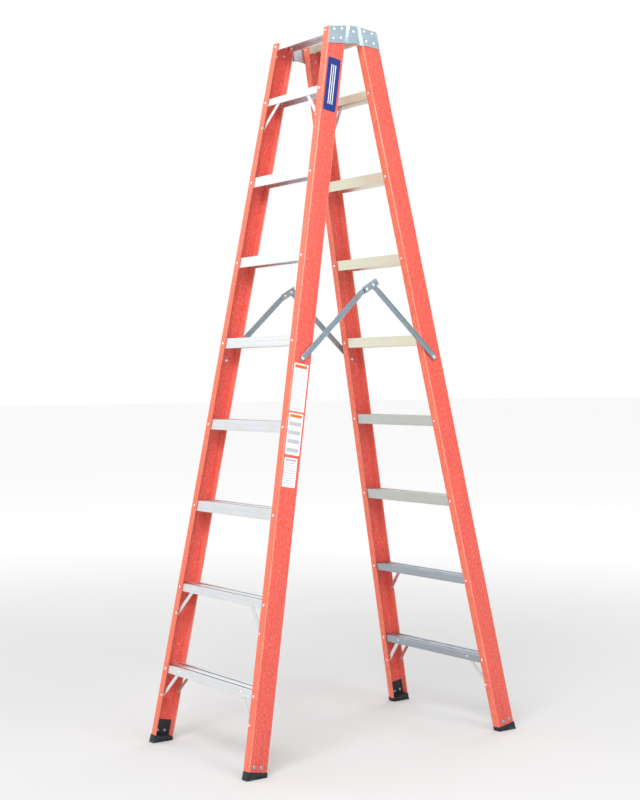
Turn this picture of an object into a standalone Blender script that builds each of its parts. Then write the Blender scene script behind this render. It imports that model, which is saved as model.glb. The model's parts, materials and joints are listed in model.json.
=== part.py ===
"""Twin step ladder: two glass-fibre frames hinged at the top, open on the floor.

World frame: origin on the floor under the middle of the ladder, +Z up, the width along X.
The front frame stands on the -Y side and the rear frame, its twin turned about Z, on the +Y side.

Each frame is built in its own axes: X across the width, Y through the rail's depth from the
climbing face (0) towards the other frame, and Z up the slope. Side pieces are built for the +X
side and mirrored for the other.
"""
import math

import bmesh
import bpy
from mathutils import Matrix, Vector

# Frame, metres and radians
SLOPE = math.radians(10.7)          # of each frame, from the vertical
HALF_WIDTH = 0.3378                 # middle to a rail's outer face, at the foot of the slope
FLARE = 0.0602                      # half width lost per metre up the slope
TOP_HALF_GAP = 0.0288               # fold axis to a rail's inner edge, at the axis's height
GAP = 0.0003                        # between pieces that rest on each other

# Rail, a channel that opens towards the middle of the ladder
RAIL_DEPTH = 0.0755
RAIL_FLANGE = 0.0333
RAIL_WALL = 0.004
RAIL_CORNER = 0.006
RAIL_START = 0.030                  # up the slope, where the foot takes over

# Treads
TREADS = 9
FIRST_TREAD = 0.271                 # up the slope, to the rivets of the lowest tread
TREAD_PITCH = 0.300
TOP_TREAD_PITCH = 0.2120            # between the two highest treads
SHALLOW_TREADS = (1, 2, TREADS - 1, TREADS)
SHALLOW_FACE = 0.027
SHALLOW_RIVET_DROP = 0.0125         # tread top down to its rivets
DEEP_FACE = 0.037
DEEP_RIVET_DROP = 0.018
TREAD_WALL = 0.0025
TREAD_END_GAP = 0.003
TREAD_EDGE_BAND = 0.013             # raised band along each edge of a tread's top
TREAD_GROOVE = 0.007                # between the edge bands and the middle one
GROOVE_DEPTH = 0.0012
RIVET_INSET = 0.0203                # a rail's outer face to the rivets in its flanges

# Braces under the treads
OUTER_BRACED_TREADS = (1, 2, TREADS - 1)
INNER_BRACED_TREADS = (1,)
BRACE_DROP = 0.0958                 # tread rivet down to the brace's rivet in the rail
BRACE_REACH = 0.090                 # tread rivet to the brace's rivet in the tread
BRACE_WIDTH = 0.014
BRACE_THICK = 0.002

# Feet
FOOT_PROUD = 0.001                  # beyond the rail's outline
FOOT_TOE = 0.003                    # further out at the floor, on the climbing side
FOOT_TONGUE_HEIGHT = 0.055
FOOT_TONGUE_THICK = 0.004
FOOT_TONGUE_ROOT = 0.004            # of the tongue, inside the block

# Hinge at the top
AXIS_BELOW_TOP = 0.01188
PLATE_THICK = 0.0025
PLATE_INSET = 0.003                 # from the climbing face of the rail
PLATE_TOP_OUTER = 0.0093            # heights are from the fold axis
PLATE_TOP_INNER = 0.0195
PLATE_BOTTOM_OUTER = -0.051
PLATE_BOTTOM_FOLD = -0.0445
PLATE_BOTTOM_TIP = -0.0375
FOLD_BEFORE_EDGE = 0.004            # first fold, before the rail's inner edge
FOLD_PAST_EDGE = 0.0066             # second fold, past it
PLATE_STEP = 0.003                  # of the tongue, out or in from the rail's face
TONGUE_CLEARANCE = 0.0025
HINGE_SHANK = 0.004                 # radii
HINGE_HEAD = 0.0065
HINGE_COLLAR = 0.007

# Spreaders
SPREADER_UP = 1.4155                # up the slope, to the pins in the rails
SPREADER_IN = 0.0369                # from the climbing face
ELBOW_RISE = 0.2555
ELBOW_OFFSET = 0.012                # of the elbow, from the middle towards the rear frame
BAR_WIDTH = 0.020
BAR_THICK = 0.002
BAR_LIP = 0.005                     # height of the turned edges, with the base
BAR_LIP_STEP = 0.0001               # bar's edge to the outer face of its turned edge
FRONT_BAR_OUT = 0.0024              # rail face to the front bar's inner face
BAR_LIP_START = 0.015               # clear of the pin in the rail
REAR_LIP_END = 0.024                # clear of the elbow pin
BRACKET_SLOPE = math.radians(30)
BRACKET_BACK = 0.043                # behind the elbow pin, along the bracket
BRACKET_FRONT = 0.022
BRACKET_THICK = 0.002
BRACKET_EDGE_GAP = 0.0008           # bar's edge to the bracket's turned edge
KINK_BACK = 0.055                   # elbow pin to the bend of the front bar
PIN_SHANK = 0.0035                  # radii
PIN_HEAD = 0.0065
PIN_COLLAR = 0.0065
PIN_HEAD_HEIGHT = 0.0033
PIN_TAIL_HEIGHT = 0.0016            # of a flattened tail
TAIL_TAPER = 0.8                    # of a tail, end to base
PIN_CLEARANCE = 0.0004              # of a hole's radius over its pin's
FACE_CLEARANCE = 0.0008             # pin faces to the leaning face of a rail
OPEN_PIN_CLEARANCE = 0.0018         # rear pin's end, which slides on the rail as the ladder folds

# Mesh fineness
CORNER_STEPS = 4
END_STEPS = 6
HOLE_STEPS = 20
TURN_STEPS = 16
DOME_STEPS = 3
SMOOTH_BELOW = math.radians(40)     # edges that bend less are shaded smooth
WELD = 1e-6

# Worked out from the sizes above
FLARE_ANGLE = math.atan(FLARE)
TREAD_RUN = math.tan(SLOPE)         # rise up the slope of a level line, per metre of depth
TOP_RIVET = FIRST_TREAD + (TREADS - 2) * TREAD_PITCH + TOP_TREAD_PITCH
TOP_LEVEL = TOP_RIVET * math.cos(SLOPE) + SHALLOW_RIVET_DROP
AXIS_LEVEL = TOP_LEVEL - AXIS_BELOW_TOP
HALF_SPREAD = TOP_HALF_GAP + RAIL_DEPTH / math.cos(SLOPE) + AXIS_LEVEL * TREAD_RUN
REAR_BAR_OUT = FRONT_BAR_OUT + BAR_THICK + PIN_CLEARANCE
BRACKET_OUT = REAR_BAR_OUT + BAR_LIP + GAP
BRACKET_TOP = BAR_WIDTH / 2 + BRACKET_EDGE_GAP

FIBREGLASS = ("rail_fibreglass", (0.78, 0.10, 0.055), 0.45, 0.0)
ALUMINIUM = ("tread_aluminium", (0.82, 0.83, 0.84), 0.35, 1.0)
BRACE_ALUMINIUM = ("brace_aluminium", (0.80, 0.80, 0.76), 0.40, 1.0)
RUBBER = ("foot_rubber", (0.02, 0.022, 0.025), 0.75, 0.0)
HINGE_STEEL = ("hinge_steel", (0.50, 0.58, 0.63), 0.45, 0.9)
SPREADER_STEEL = ("spreader_steel", (0.42, 0.49, 0.54), 0.45, 0.9)
RIVET_STEEL = ("rivet_steel", (0.86, 0.87, 0.88), 0.25, 1.0)


# Scene

def clear_scene():
    for item in list(bpy.data.objects):
        bpy.data.objects.remove(item, do_unlink=True)


def make_collection(name):
    collection = bpy.data.collections.new(name)
    bpy.context.scene.collection.children.link(collection)
    return collection


def make_material(finish):
    name, colour, roughness, metallic = finish
    material = bpy.data.materials.get(name)
    if material is None:
        material = bpy.data.materials.new(name)
        material.use_nodes = True
        shader = material.node_tree.nodes["Principled BSDF"]
        shader.inputs["Base Color"].default_value = (*colour, 1.0)
        shader.inputs["Roughness"].default_value = roughness
        shader.inputs["Metallic"].default_value = metallic
    return material


def add_empty(name, collection, parent=None, location=(0, 0, 0), rotation=(0, 0, 0)):
    empty = bpy.data.objects.new(name, None)
    collection.objects.link(empty)
    empty.parent = parent
    empty.location = location
    empty.rotation_euler = rotation
    return empty


def add_piece(name, mesh, finish, collection, parent, location=(0, 0, 0), rotation=(0, 0, 0)):
    piece = bpy.data.objects.new(name, mesh)
    mesh.name = name
    mesh.materials.append(make_material(finish))
    collection.objects.link(piece)
    piece.parent = parent
    piece.location = location
    piece.rotation_euler = rotation
    return piece


# Outlines and meshes

def arc(centre, radius, start, end, steps):
    """Points from start to end degrees about a centre."""
    angles = [math.radians(start + (end - start) * i / steps) for i in range(steps + 1)]
    return [(centre[0] + radius * math.cos(a), centre[1] + radius * math.sin(a)) for a in angles]


def circle(centre, radius, steps=HOLE_STEPS):
    return arc(centre, radius, 0, 360 * (steps - 1) / steps, steps - 1)


def flat_mesh(outline, depth, holes=()):
    """A flat outline in X and Y with holes, made a solid of the given depth about Z = 0."""
    curve = bpy.data.curves.new("outline", "CURVE")
    curve.dimensions = "2D"
    curve.fill_mode = "BOTH"
    curve.extrude = depth / 2
    for loop in (outline, *holes):
        spline = curve.splines.new("POLY")
        spline.points.add(len(loop) - 1)
        for point, (x, y) in zip(spline.points, loop):
            point.co = (x, y, 0, 1)
        spline.use_cyclic_u = True
    guide = bpy.data.objects.new("outline", curve)
    bpy.context.scene.collection.objects.link(guide)
    graph = bpy.context.evaluated_depsgraph_get()
    mesh = bpy.data.meshes.new_from_object(guide.evaluated_get(graph))
    bpy.data.objects.remove(guide)
    bpy.data.curves.remove(curve)
    mesh.materials.clear()
    edit = bmesh.new()
    edit.from_mesh(mesh)
    bmesh.ops.remove_doubles(edit, verts=edit.verts, dist=WELD)
    bmesh.ops.dissolve_limit(edit, angle_limit=WELD, verts=edit.verts, edges=edit.edges)
    bmesh.ops.recalc_face_normals(edit, faces=edit.faces)
    edit.to_mesh(mesh)
    edit.free()
    mesh.shade_smooth()
    mesh.set_sharp_from_angle(angle=SMOOTH_BELOW)
    return mesh


def box_mesh(low, high):
    edit = bmesh.new()
    size = Vector(high) - Vector(low)
    middle = (Vector(high) + Vector(low)) / 2
    matrix = Matrix.Translation(middle) @ Matrix.Diagonal((*size, 1.0))
    bmesh.ops.create_cube(edit, size=1.0, matrix=matrix)
    mesh = bpy.data.meshes.new("box")
    edit.to_mesh(mesh)
    edit.free()
    return mesh


def mirror_across(mesh):
    """Turn a +X side piece into its -X side twin."""
    mesh.transform(Matrix.Diagonal((-1.0, 1.0, 1.0, 1.0)))
    mesh.flip_normals()


def outline_across(mesh):
    """Turn an outline in X, Y extruded along Z into one in Y, Z extruded along X."""
    mesh.transform(Matrix(((0, 0, 1, 0), (1, 0, 0, 0), (0, 1, 0, 0), (0, 0, 0, 1))))


def add_cutter(name, radius, length, location, rotation=(0, math.pi / 2, 0), parent=None):
    """A round cutter along X, unless it is turned otherwise."""
    edit = bmesh.new()
    bmesh.ops.create_cone(edit, cap_ends=True, segments=HOLE_STEPS, radius1=radius,
                          radius2=radius, depth=length)
    mesh = bpy.data.meshes.new(name)
    edit.to_mesh(mesh)
    edit.free()
    return add_cutting_mesh(name, mesh, location, rotation, parent)


def add_cutting_mesh(name, mesh, location=(0, 0, 0), rotation=(0, 0, 0), parent=None):
    cutter = bpy.data.objects.new(name, mesh)
    CUTTERS.objects.link(cutter)
    cutter.location = location
    cutter.rotation_euler = rotation
    cutter.parent = parent
    cutter.hide_render = True
    cutter.display_type = "WIRE"
    return cutter


def combine(piece, other, operation):
    modifier = piece.modifiers.new(operation.lower(), "BOOLEAN")
    modifier.operation = operation
    modifier.solver = "EXACT"
    modifier.object = other


def turned_piece(name, profile, collection, parent, location, side, finish=RIVET_STEEL):
    """A round piece about the X axis. The profile is (radius, distance out) from the outer end."""
    mesh = bpy.data.meshes.new(name)
    points = [(radius, 0.0, out) for radius, out in profile]
    mesh.from_pydata(points, [(i, i + 1) for i in range(len(points) - 1)], [])
    piece = add_piece(name, mesh, finish, collection, parent, location,
                      (0, side * math.pi / 2, 0))
    screw = piece.modifiers.new("turn", "SCREW")
    screw.axis = "Z"
    screw.steps = TURN_STEPS
    screw.render_steps = TURN_STEPS
    screw.use_merge_vertices = True
    screw.merge_threshold = WELD
    screw.use_smooth_shade = True
    return piece


def dome(radius, height, base):
    """Profile of a domed head, from its top to its rim at the base."""
    points = []
    for i in range(DOME_STEPS):
        angle = math.pi / 2 * (1 - i / DOME_STEPS)
        points.append((radius * math.cos(angle), base + height * math.sin(angle)))
    return [(0.0, base + height)] + points[1:] + [(radius, base)]


# Places in a frame's own axes

def rail_face(up):
    """Outer face of a rail at a height up the slope, as a distance from the middle."""
    return HALF_WIDTH - FLARE * up


def level_to_frame(inward, height):
    """Frame axes (depth, up) of a point given level from the fold axis, towards the other frame."""
    depth = HALF_SPREAD * math.cos(SLOPE) - AXIS_LEVEL * math.sin(SLOPE)
    up = HALF_SPREAD * math.sin(SLOPE) + AXIS_LEVEL * math.cos(SLOPE)
    return (depth + inward * math.cos(SLOPE) - height * math.sin(SLOPE),
            up + inward * math.sin(SLOPE) + height * math.cos(SLOPE))


def frame_to_level(depth, up):
    """World Y (front frame) and Z of a point in the frame's axes."""
    return (-HALF_SPREAD + depth * math.cos(SLOPE) + up * math.sin(SLOPE),
            up * math.cos(SLOPE) - depth * math.sin(SLOPE))


def rivet_up(number):
    """Height up the slope of a tread's rivets in the climbing-side flange."""
    if number == TREADS:
        return TOP_RIVET
    return FIRST_TREAD + (number - 1) * TREAD_PITCH


# Rails

def rail_outline():
    middle = RAIL_DEPTH - RAIL_CORNER
    bend = RAIL_CORNER - RAIL_WALL
    outer = [(-RAIL_FLANGE, 0.0)]
    outer += arc((-RAIL_CORNER, RAIL_CORNER), RAIL_CORNER, -90, 0, CORNER_STEPS)
    outer += arc((-RAIL_CORNER, middle), RAIL_CORNER, 0, 90, CORNER_STEPS)
    outer += [(-RAIL_FLANGE, RAIL_DEPTH), (-RAIL_FLANGE, RAIL_DEPTH - RAIL_WALL)]
    inner = arc((-RAIL_CORNER, middle), bend, 90, 0, CORNER_STEPS)
    inner += arc((-RAIL_CORNER, RAIL_CORNER), bend, 0, -90, CORNER_STEPS)
    return outer + inner + [(-RAIL_FLANGE, RAIL_WALL)]


def rail_along(across, depth, up):
    """Distance along a leaning rail where it is at a height up the slope."""
    return (up - across * math.sin(FLARE_ANGLE)) / math.cos(FLARE_ANGLE)


def build_rail(name, side, parent, collection):
    """The outline's length comes from its two ends, the upper one cut level."""
    mesh = flat_mesh(rail_outline(), RAIL_DEPTH)
    top = TOP_RIVET + SHALLOW_RIVET_DROP / math.cos(SLOPE)
    for vertex in mesh.vertices:
        across, depth, end = vertex.co
        if end < 0:
            vertex.co.z = RAIL_START
        else:
            vertex.co.z = rail_along(across, depth, top + depth * TREAD_RUN)
    if side < 0:
        mirror_across(mesh)
    return add_piece(name, mesh, FIBREGLASS, collection, parent,
                     (side * HALF_WIDTH, 0, 0), (0, -side * FLARE_ANGLE, 0))


def pierce_rail(rail, side, parent):
    """Hole for the spreader's pin in a front rail."""
    place = (side * rail_face(SPREADER_UP), SPREADER_IN, SPREADER_UP)
    cutter = add_cutter(rail.name + "_pin_hole", PIN_SHANK + PIN_CLEARANCE, RAIL_FLANGE,
                        place, parent=parent)
    combine(rail, cutter, "DIFFERENCE")


# Feet

def foot_block():
    """Block between the rail's end and the floor, which it meets level."""
    mesh = box_mesh((-RAIL_FLANGE - FOOT_PROUD, -FOOT_PROUD, 0.0),
                    (FOOT_PROUD, RAIL_DEPTH + FOOT_PROUD, RAIL_START - GAP))
    for vertex in mesh.vertices:
        across, depth, along = vertex.co
        if along > 0:
            continue
        if depth < 0:
            vertex.co.y -= FOOT_TOE
        vertex.co.z = rail_along(across, depth, vertex.co.y * TREAD_RUN)
    return mesh


def foot_tongue():
    """Upright part of the foot, against the inside of the rail's web."""
    face = -RAIL_WALL - GAP
    edge = RAIL_CORNER + GAP
    return box_mesh((face - FOOT_TONGUE_THICK, edge, RAIL_START - FOOT_TONGUE_ROOT),
                    (face, RAIL_DEPTH - edge, RAIL_START + FOOT_TONGUE_HEIGHT))


def build_foot(name, side, parent, collection):
    block = foot_block()
    tongue = foot_tongue()
    if side < 0:
        mirror_across(block)
        mirror_across(tongue)
    place = (side * HALF_WIDTH, 0, 0)
    turn = (0, -side * FLARE_ANGLE, 0)
    foot = add_piece(name, block, RUBBER, collection, parent, place, turn)
    cutter = add_cutting_mesh(name + "_tongue", tongue, place, turn, parent)
    combine(foot, cutter, "UNION")
    return foot


# Treads

def tread_outline(face, drop):
    """Channel that opens downwards, two grooves along its top, in depth and height from the
    rivets."""
    near = RAIL_WALL + GAP
    far = RAIL_DEPTH - RAIL_WALL - GAP
    top = drop / math.cos(SLOPE)
    deck = top - TREAD_WALL / math.cos(SLOPE)
    foot = top - face / math.cos(SLOPE)

    def rise(depth, height):
        return depth, height + depth * TREAD_RUN

    bands = [rise(near, top)]
    for start in (near + TREAD_EDGE_BAND, far - TREAD_EDGE_BAND - TREAD_GROOVE):
        end = start + TREAD_GROOVE
        bands += [rise(start, top), rise(start, top - GROOVE_DEPTH),
                  rise(end, top - GROOVE_DEPTH), rise(end, top)]
    bands.append(rise(far, top))
    return bands + [rise(far, foot), rise(far - TREAD_WALL, foot),
                    rise(far - TREAD_WALL, deck - GROOVE_DEPTH),
                    rise(near + TREAD_WALL, deck - GROOVE_DEPTH),
                    rise(near + TREAD_WALL, foot), rise(near, foot)]


def build_tread(name, number, parent, collection):
    shallow = number in SHALLOW_TREADS
    face = SHALLOW_FACE if shallow else DEEP_FACE
    drop = SHALLOW_RIVET_DROP if shallow else DEEP_RIVET_DROP
    up = rivet_up(number)
    highest = up + drop / math.cos(SLOPE) + RAIL_DEPTH * TREAD_RUN
    length = 2 * (rail_face(highest) - RAIL_WALL - TREAD_END_GAP)
    mesh = flat_mesh(tread_outline(face, drop), length)
    outline_across(mesh)
    return add_piece(name, mesh, ALUMINIUM, collection, parent, (0, 0, up))


# Braces

def stadium(length, width):
    """Flat bar with round ends, from one hole's centre at 0 to the other along X."""
    radius = width / 2
    return (arc((0, 0), radius, 90, 270, END_STEPS)
            + arc((length, 0), radius, -90, 90, END_STEPS))


def build_brace(name, side, number, inner, parent, collection):
    length = math.hypot(BRACE_DROP, BRACE_REACH)
    mesh = flat_mesh(stadium(length, BRACE_WIDTH), BRACE_THICK)
    mesh.transform(Matrix.Rotation(math.pi / 2, 4, "X"))
    depth = RAIL_WALL + TREAD_WALL + 2 * GAP + BRACE_THICK / 2
    up = rivet_up(number)
    if inner:
        depth = RAIL_DEPTH - depth
        up += RAIL_DEPTH * TREAD_RUN
    across = side * (rail_face(up) - RIVET_INSET)
    lean = math.atan2(BRACE_DROP, BRACE_REACH)
    turn = lean - math.pi if side > 0 else -lean
    return add_piece(name, mesh, BRACE_ALUMINIUM, collection, parent,
                     (across, depth, up - BRACE_DROP), (0, turn, 0))


# Hinge plates

def plate_columns():
    """Top and bottom corners of the plate's four columns, level from the fold axis."""
    def column(depth, top, bottom):
        line = []
        for height in (top, bottom):
            inward = -HALF_SPREAD + (depth / math.cos(SLOPE)
                                     + (AXIS_LEVEL + height) * TREAD_RUN)
            line.append((inward, height))
        return line

    reach = TOP_HALF_GAP * math.cos(SLOPE) - FOLD_PAST_EDGE
    tip = []
    for height in (PLATE_TOP_INNER, PLATE_BOTTOM_TIP):
        clear = reach - abs(height) * math.sin(SLOPE)
        tip.append((clear / math.cos(SLOPE) - TONGUE_CLEARANCE, height))
    first_fold = RAIL_DEPTH - FOLD_BEFORE_EDGE
    second_fold = RAIL_DEPTH + FOLD_PAST_EDGE
    return [column(PLATE_INSET, PLATE_TOP_OUTER, PLATE_BOTTOM_OUTER),
            column(first_fold, PLATE_TOP_INNER, PLATE_BOTTOM_FOLD),
            column(second_fold, PLATE_TOP_INNER, PLATE_BOTTOM_FOLD), tip]


def axis_face():
    """Distance from the middle to the rails' outer faces, at the fold axis."""
    return rail_face(level_to_frame(-TOP_HALF_GAP, 0.0)[1])


def build_hinge_plate(name, side, step, parent, collection):
    """A pad on the rail, a step out (+) or in (-), and a tongue across the fold axis."""
    edit = bmesh.new()
    columns = plate_columns()
    folds = len(columns) - 1
    bmesh.ops.create_grid(edit, x_segments=folds, y_segments=1, size=1.0)
    for vertex in edit.verts:
        column = round((vertex.co.x + 1) * folds / 2)
        inward, height = columns[column][0 if vertex.co.y > 0 else 1]
        depth, up = level_to_frame(inward, height)
        across = rail_face(up) + GAP
        if column > 1:
            across = axis_face() + step
        vertex.co = (across, depth, up)
    bmesh.ops.recalc_face_normals(edit, faces=edit.faces)
    if edit.faces[:][0].normal.x < 0:
        bmesh.ops.reverse_faces(edit, faces=edit.faces)
    mesh = bpy.data.meshes.new(name)
    edit.to_mesh(mesh)
    edit.free()
    if side < 0:
        mirror_across(mesh)
    plate = add_piece(name, mesh, HINGE_STEEL, collection, parent)
    shell = plate.modifiers.new("thickness", "SOLIDIFY")
    shell.thickness = PLATE_THICK
    shell.offset = 1.0
    shell.use_even_offset = True
    depth, up = level_to_frame(0.0, 0.0)
    cutter = add_cutter(name + "_hole", HINGE_SHANK + PIN_CLEARANCE, RAIL_FLANGE,
                        (side * axis_face(), depth, up), parent=parent)
    combine(plate, cutter, "DIFFERENCE")
    return plate


def build_hinge_pivot(name, side, parent, collection):
    """Rivet through both tongues, with a collar that keeps them apart."""
    outer = PLATE_STEP + PLATE_THICK + GAP
    inner = -PLATE_STEP - GAP
    gap_low = -PLATE_STEP + PLATE_THICK + GAP
    profile = dome(HINGE_HEAD, PIN_HEAD_HEIGHT, outer)
    profile += [(HINGE_SHANK, outer), (HINGE_SHANK, PLATE_STEP - GAP),
                (HINGE_COLLAR, PLATE_STEP - GAP), (HINGE_COLLAR, gap_low),
                (HINGE_SHANK, gap_low), (HINGE_SHANK, inner), (HINGE_HEAD, inner),
                (HINGE_HEAD * TAIL_TAPER, inner - PIN_TAIL_HEIGHT),
                (0.0, inner - PIN_TAIL_HEIGHT)]
    return turned_piece(name, profile, collection, parent,
                        (side * axis_face(), 0, 0), side)


# Spreaders

def spreader_pivot():
    """World Y and Z of the front spreader pins; the rear ones are their mirror in Y."""
    return frame_to_level(SPREADER_IN, SPREADER_UP)


def elbow_place():
    return ELBOW_OFFSET, spreader_pivot()[1] + ELBOW_RISE


def bar_layout(rear):
    """Length of a spreader bar between its pins, and its slope seen from the pin in the rail."""
    pivot_y, pivot_z = spreader_pivot()
    elbow_y, elbow_z = elbow_place()
    run = (-pivot_y - elbow_y) if rear else (elbow_y - pivot_y)
    return math.hypot(run, elbow_z - pivot_z), math.atan2(elbow_z - pivot_z, run)


def bar_solid(name, outline, holes, out, lips, side, parent, collection, location, turn):
    """A flat bar in Y and Z with turned-out edges along the given boxes (corner, size, turn)."""
    mesh = flat_mesh(outline, BAR_THICK, holes)
    outline_across(mesh)
    mesh.transform(Matrix.Translation((out + BAR_THICK / 2, 0, 0)))
    if side < 0:
        mirror_across(mesh)
    bar = add_piece(name, mesh, SPREADER_STEEL, collection, parent, location, (turn, 0, 0))
    for number, (low, high, lean, pivot) in enumerate(lips):
        lip = box_mesh((out + BAR_THICK / 2, *low), (out + BAR_LIP, *high))
        lip.transform(Matrix.Translation((0, *pivot)) @ Matrix.Rotation(lean, 4, "X"))
        if side < 0:
            mirror_across(lip)
        cutter = add_cutting_mesh(f"{name}_lip_{number}", lip, location, (turn, 0, 0), parent)
        combine(bar, cutter, "UNION")
    return bar


def kinked_outline(length, kink, width):
    """Bar from the rail pin at 0, bent where it nears the elbow pin at (length, 0)."""
    radius = width / 2
    first = math.atan2(kink[1], kink[0])
    second = math.atan2(-kink[1], length - kink[0])
    middle = (first + second) / 2
    offset = radius / math.cos((first - second) / 2)
    normal = Vector((-math.sin(middle), math.cos(middle))) * offset
    corner = Vector(kink)
    above = corner + normal
    below = corner - normal
    start = arc((0, 0), radius, math.degrees(first) + 90, math.degrees(first) + 270, END_STEPS)
    end = arc((length, 0), radius, math.degrees(second) - 90, math.degrees(second) + 90,
              END_STEPS)
    return start + [tuple(below)] + end + [tuple(above)]


def lip_boxes(start, end, lean, pivot):
    """The two turned edges of a bar, between two distances along it."""
    edge = BAR_WIDTH / 2 - BAR_LIP_STEP
    wall = BAR_THICK
    return [((start, edge - wall), (end, edge), lean, pivot),
            ((start, -edge), (end, wall - edge), lean, pivot)]


def build_front_bar(name, side, parent, collection):
    length, slope = bar_layout(rear=False)
    bend = slope - BRACKET_SLOPE
    kink = (length - KINK_BACK * math.cos(bend), KINK_BACK * math.sin(bend))
    lean = math.atan2(kink[1], kink[0])
    reach = math.hypot(*kink)
    hole = PIN_SHANK + PIN_CLEARANCE
    holes = [circle((0, 0), hole), circle((length, 0), hole)]
    lips = lip_boxes(BAR_LIP_START, reach - BAR_THICK, lean, (0, 0))
    return bar_solid(name, kinked_outline(length, kink, BAR_WIDTH), holes, FRONT_BAR_OUT,
                     lips, side, parent, collection, (0, 0, 0), slope)


def build_rear_bar(name, side, parent, collection):
    length, slope = bar_layout(rear=True)
    hole = PIN_SHANK + PIN_CLEARANCE
    holes = [circle((0, 0), hole), circle((length, 0), hole)]
    lips = lip_boxes(REAR_LIP_END, length - BAR_LIP_START, 0.0, (0, 0))
    return bar_solid(name, stadium(length, BAR_WIDTH), holes, REAR_BAR_OUT, lips, side,
                     parent, collection, (0, 0, 0), -slope)


def build_bracket(name, side, parent, collection):
    """Angle over the elbow, fixed to the front bar; its turned edge stops the rear bar."""
    bottom = -BAR_WIDTH / 2
    top = BRACKET_TOP + BRACKET_THICK
    outline = [(-BRACKET_BACK, bottom), (BRACKET_FRONT, bottom), (BRACKET_FRONT, top),
               (-BRACKET_BACK, top)]
    hole = PIN_SHANK + PIN_CLEARANCE
    mesh = flat_mesh(outline, BRACKET_THICK, [circle((0, 0), hole)])
    outline_across(mesh)
    mesh.transform(Matrix.Translation((BRACKET_OUT + BRACKET_THICK / 2, 0, 0)))
    edge = box_mesh((FRONT_BAR_OUT, -BRACKET_BACK, BRACKET_TOP),
                    (BRACKET_OUT + BRACKET_THICK, BRACKET_FRONT, top))
    if side < 0:
        mirror_across(mesh)
        mirror_across(edge)
    turn = (BRACKET_SLOPE, 0, 0)
    bracket = add_piece(name, mesh, SPREADER_STEEL, collection, parent, (0, 0, 0), turn)
    cutter = add_cutting_mesh(name + "_edge", edge, (0, 0, 0), turn, parent)
    combine(bracket, cutter, "UNION")
    return bracket


def pin_profile(head_base, layers, tail):
    """Domed head, shank and collars between the given (outer, inner) faces, down to a tail."""
    profile = dome(PIN_HEAD, PIN_HEAD_HEIGHT, head_base) + [(PIN_SHANK, head_base)]
    for outer, inner in layers:
        profile += [(PIN_SHANK, outer), (PIN_COLLAR, outer), (PIN_COLLAR, inner)]
        if inner > tail:
            profile.append((PIN_SHANK, inner))
    return profile


def build_front_pin(name, side, parent, collection):
    """Pin through the front bar and the rail, headed inside the rail."""
    head = FRONT_BAR_OUT + BAR_THICK + GAP
    tail = -RAIL_WALL - FACE_CLEARANCE
    end = tail - PIN_HEAD_HEIGHT
    profile = pin_profile(head, [(FRONT_BAR_OUT - GAP, FACE_CLEARANCE)], tail)
    profile += [(PIN_SHANK, tail), (PIN_COLLAR, tail), (PIN_COLLAR * TAIL_TAPER, end), (0.0, end)]
    return turned_piece(name, profile, collection, parent, (0, 0, 0), side)


def build_rear_pin(name, side, parent, collection):
    """Pin that the rear bar carries; it ends just off the rail's face."""
    length, slope = bar_layout(rear=True)
    head = REAR_BAR_OUT + BAR_THICK + GAP
    end = OPEN_PIN_CLEARANCE
    profile = pin_profile(head, [(REAR_BAR_OUT - GAP, end)], end) + [(0.0, end)]
    place = (0, length * math.cos(slope), -length * math.sin(slope))
    return turned_piece(name, profile, collection, parent, place, side)


def build_elbow_pin(name, side, parent, collection):
    head = BRACKET_OUT + BRACKET_THICK + GAP
    collar = (BRACKET_OUT - GAP, REAR_BAR_OUT + BAR_THICK + GAP)
    tail = FRONT_BAR_OUT - GAP
    end = tail - PIN_TAIL_HEIGHT
    profile = pin_profile(head, [collar], tail)
    profile += [(PIN_SHANK, tail), (PIN_COLLAR, tail), (PIN_COLLAR * TAIL_TAPER, end), (0.0, end)]
    return turned_piece(name, profile, collection, parent, (0, 0, 0), side)


# Assemblies

def build_frame(name, facing, pivot, collection):
    """One frame; facing is 1 for the front frame and -1 for its twin turned about Z."""
    turn = 0.0 if facing > 0 else math.pi
    base = add_empty(name + "_frame", collection, pivot,
                     (0, -facing * HALF_SPREAD, -AXIS_LEVEL), (-SLOPE, 0, turn))
    for side in (1, -1):
        label = f"{name}_{'right' if side * facing > 0 else 'left'}"
        rail = build_rail(label + "_rail", side, base, collection)
        if facing > 0:
            pierce_rail(rail, side, base)
        build_foot(label + "_foot", side, base, collection)
        build_hinge_plate(label + "_hinge_plate", side,
                          PLATE_STEP if facing > 0 else -PLATE_STEP, base, collection)
        for number in OUTER_BRACED_TREADS:
            build_brace(f"{label}_brace_{number}", side, number, False, base, collection)
        for number in INNER_BRACED_TREADS:
            build_brace(f"{label}_inner_brace_{number}", side, number, True, base, collection)
    for number in range(1, TREADS + 1):
        build_tread(f"{name}_tread_{number}", number, base, collection)


def build_spreader(label, side, collection):
    """Both bars of one side, on empties at the joints' axes."""
    face = side * rail_face(SPREADER_UP)
    pivot_y, pivot_z = spreader_pivot()
    elbow_y, elbow_z = elbow_place()
    rail_axis = add_empty(label + "_front_spreader", collection, None,
                          (face, pivot_y, pivot_z))
    elbow_axis = add_empty(label + "_rear_spreader", collection, rail_axis,
                           (0, elbow_y - pivot_y, elbow_z - pivot_z))
    build_front_bar(label + "_front_spreader_bar", side, rail_axis, collection)
    build_front_pin(f"front_{label}_spreader_pin", side, rail_axis, collection)
    build_bracket(label + "_elbow_bracket", side, elbow_axis, collection)
    build_elbow_pin(label + "_elbow_pin", side, elbow_axis, collection)
    build_rear_bar(label + "_rear_spreader_bar", side, elbow_axis, collection)
    build_rear_pin(f"rear_{label}_spreader_pin", side, elbow_axis, collection)


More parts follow.
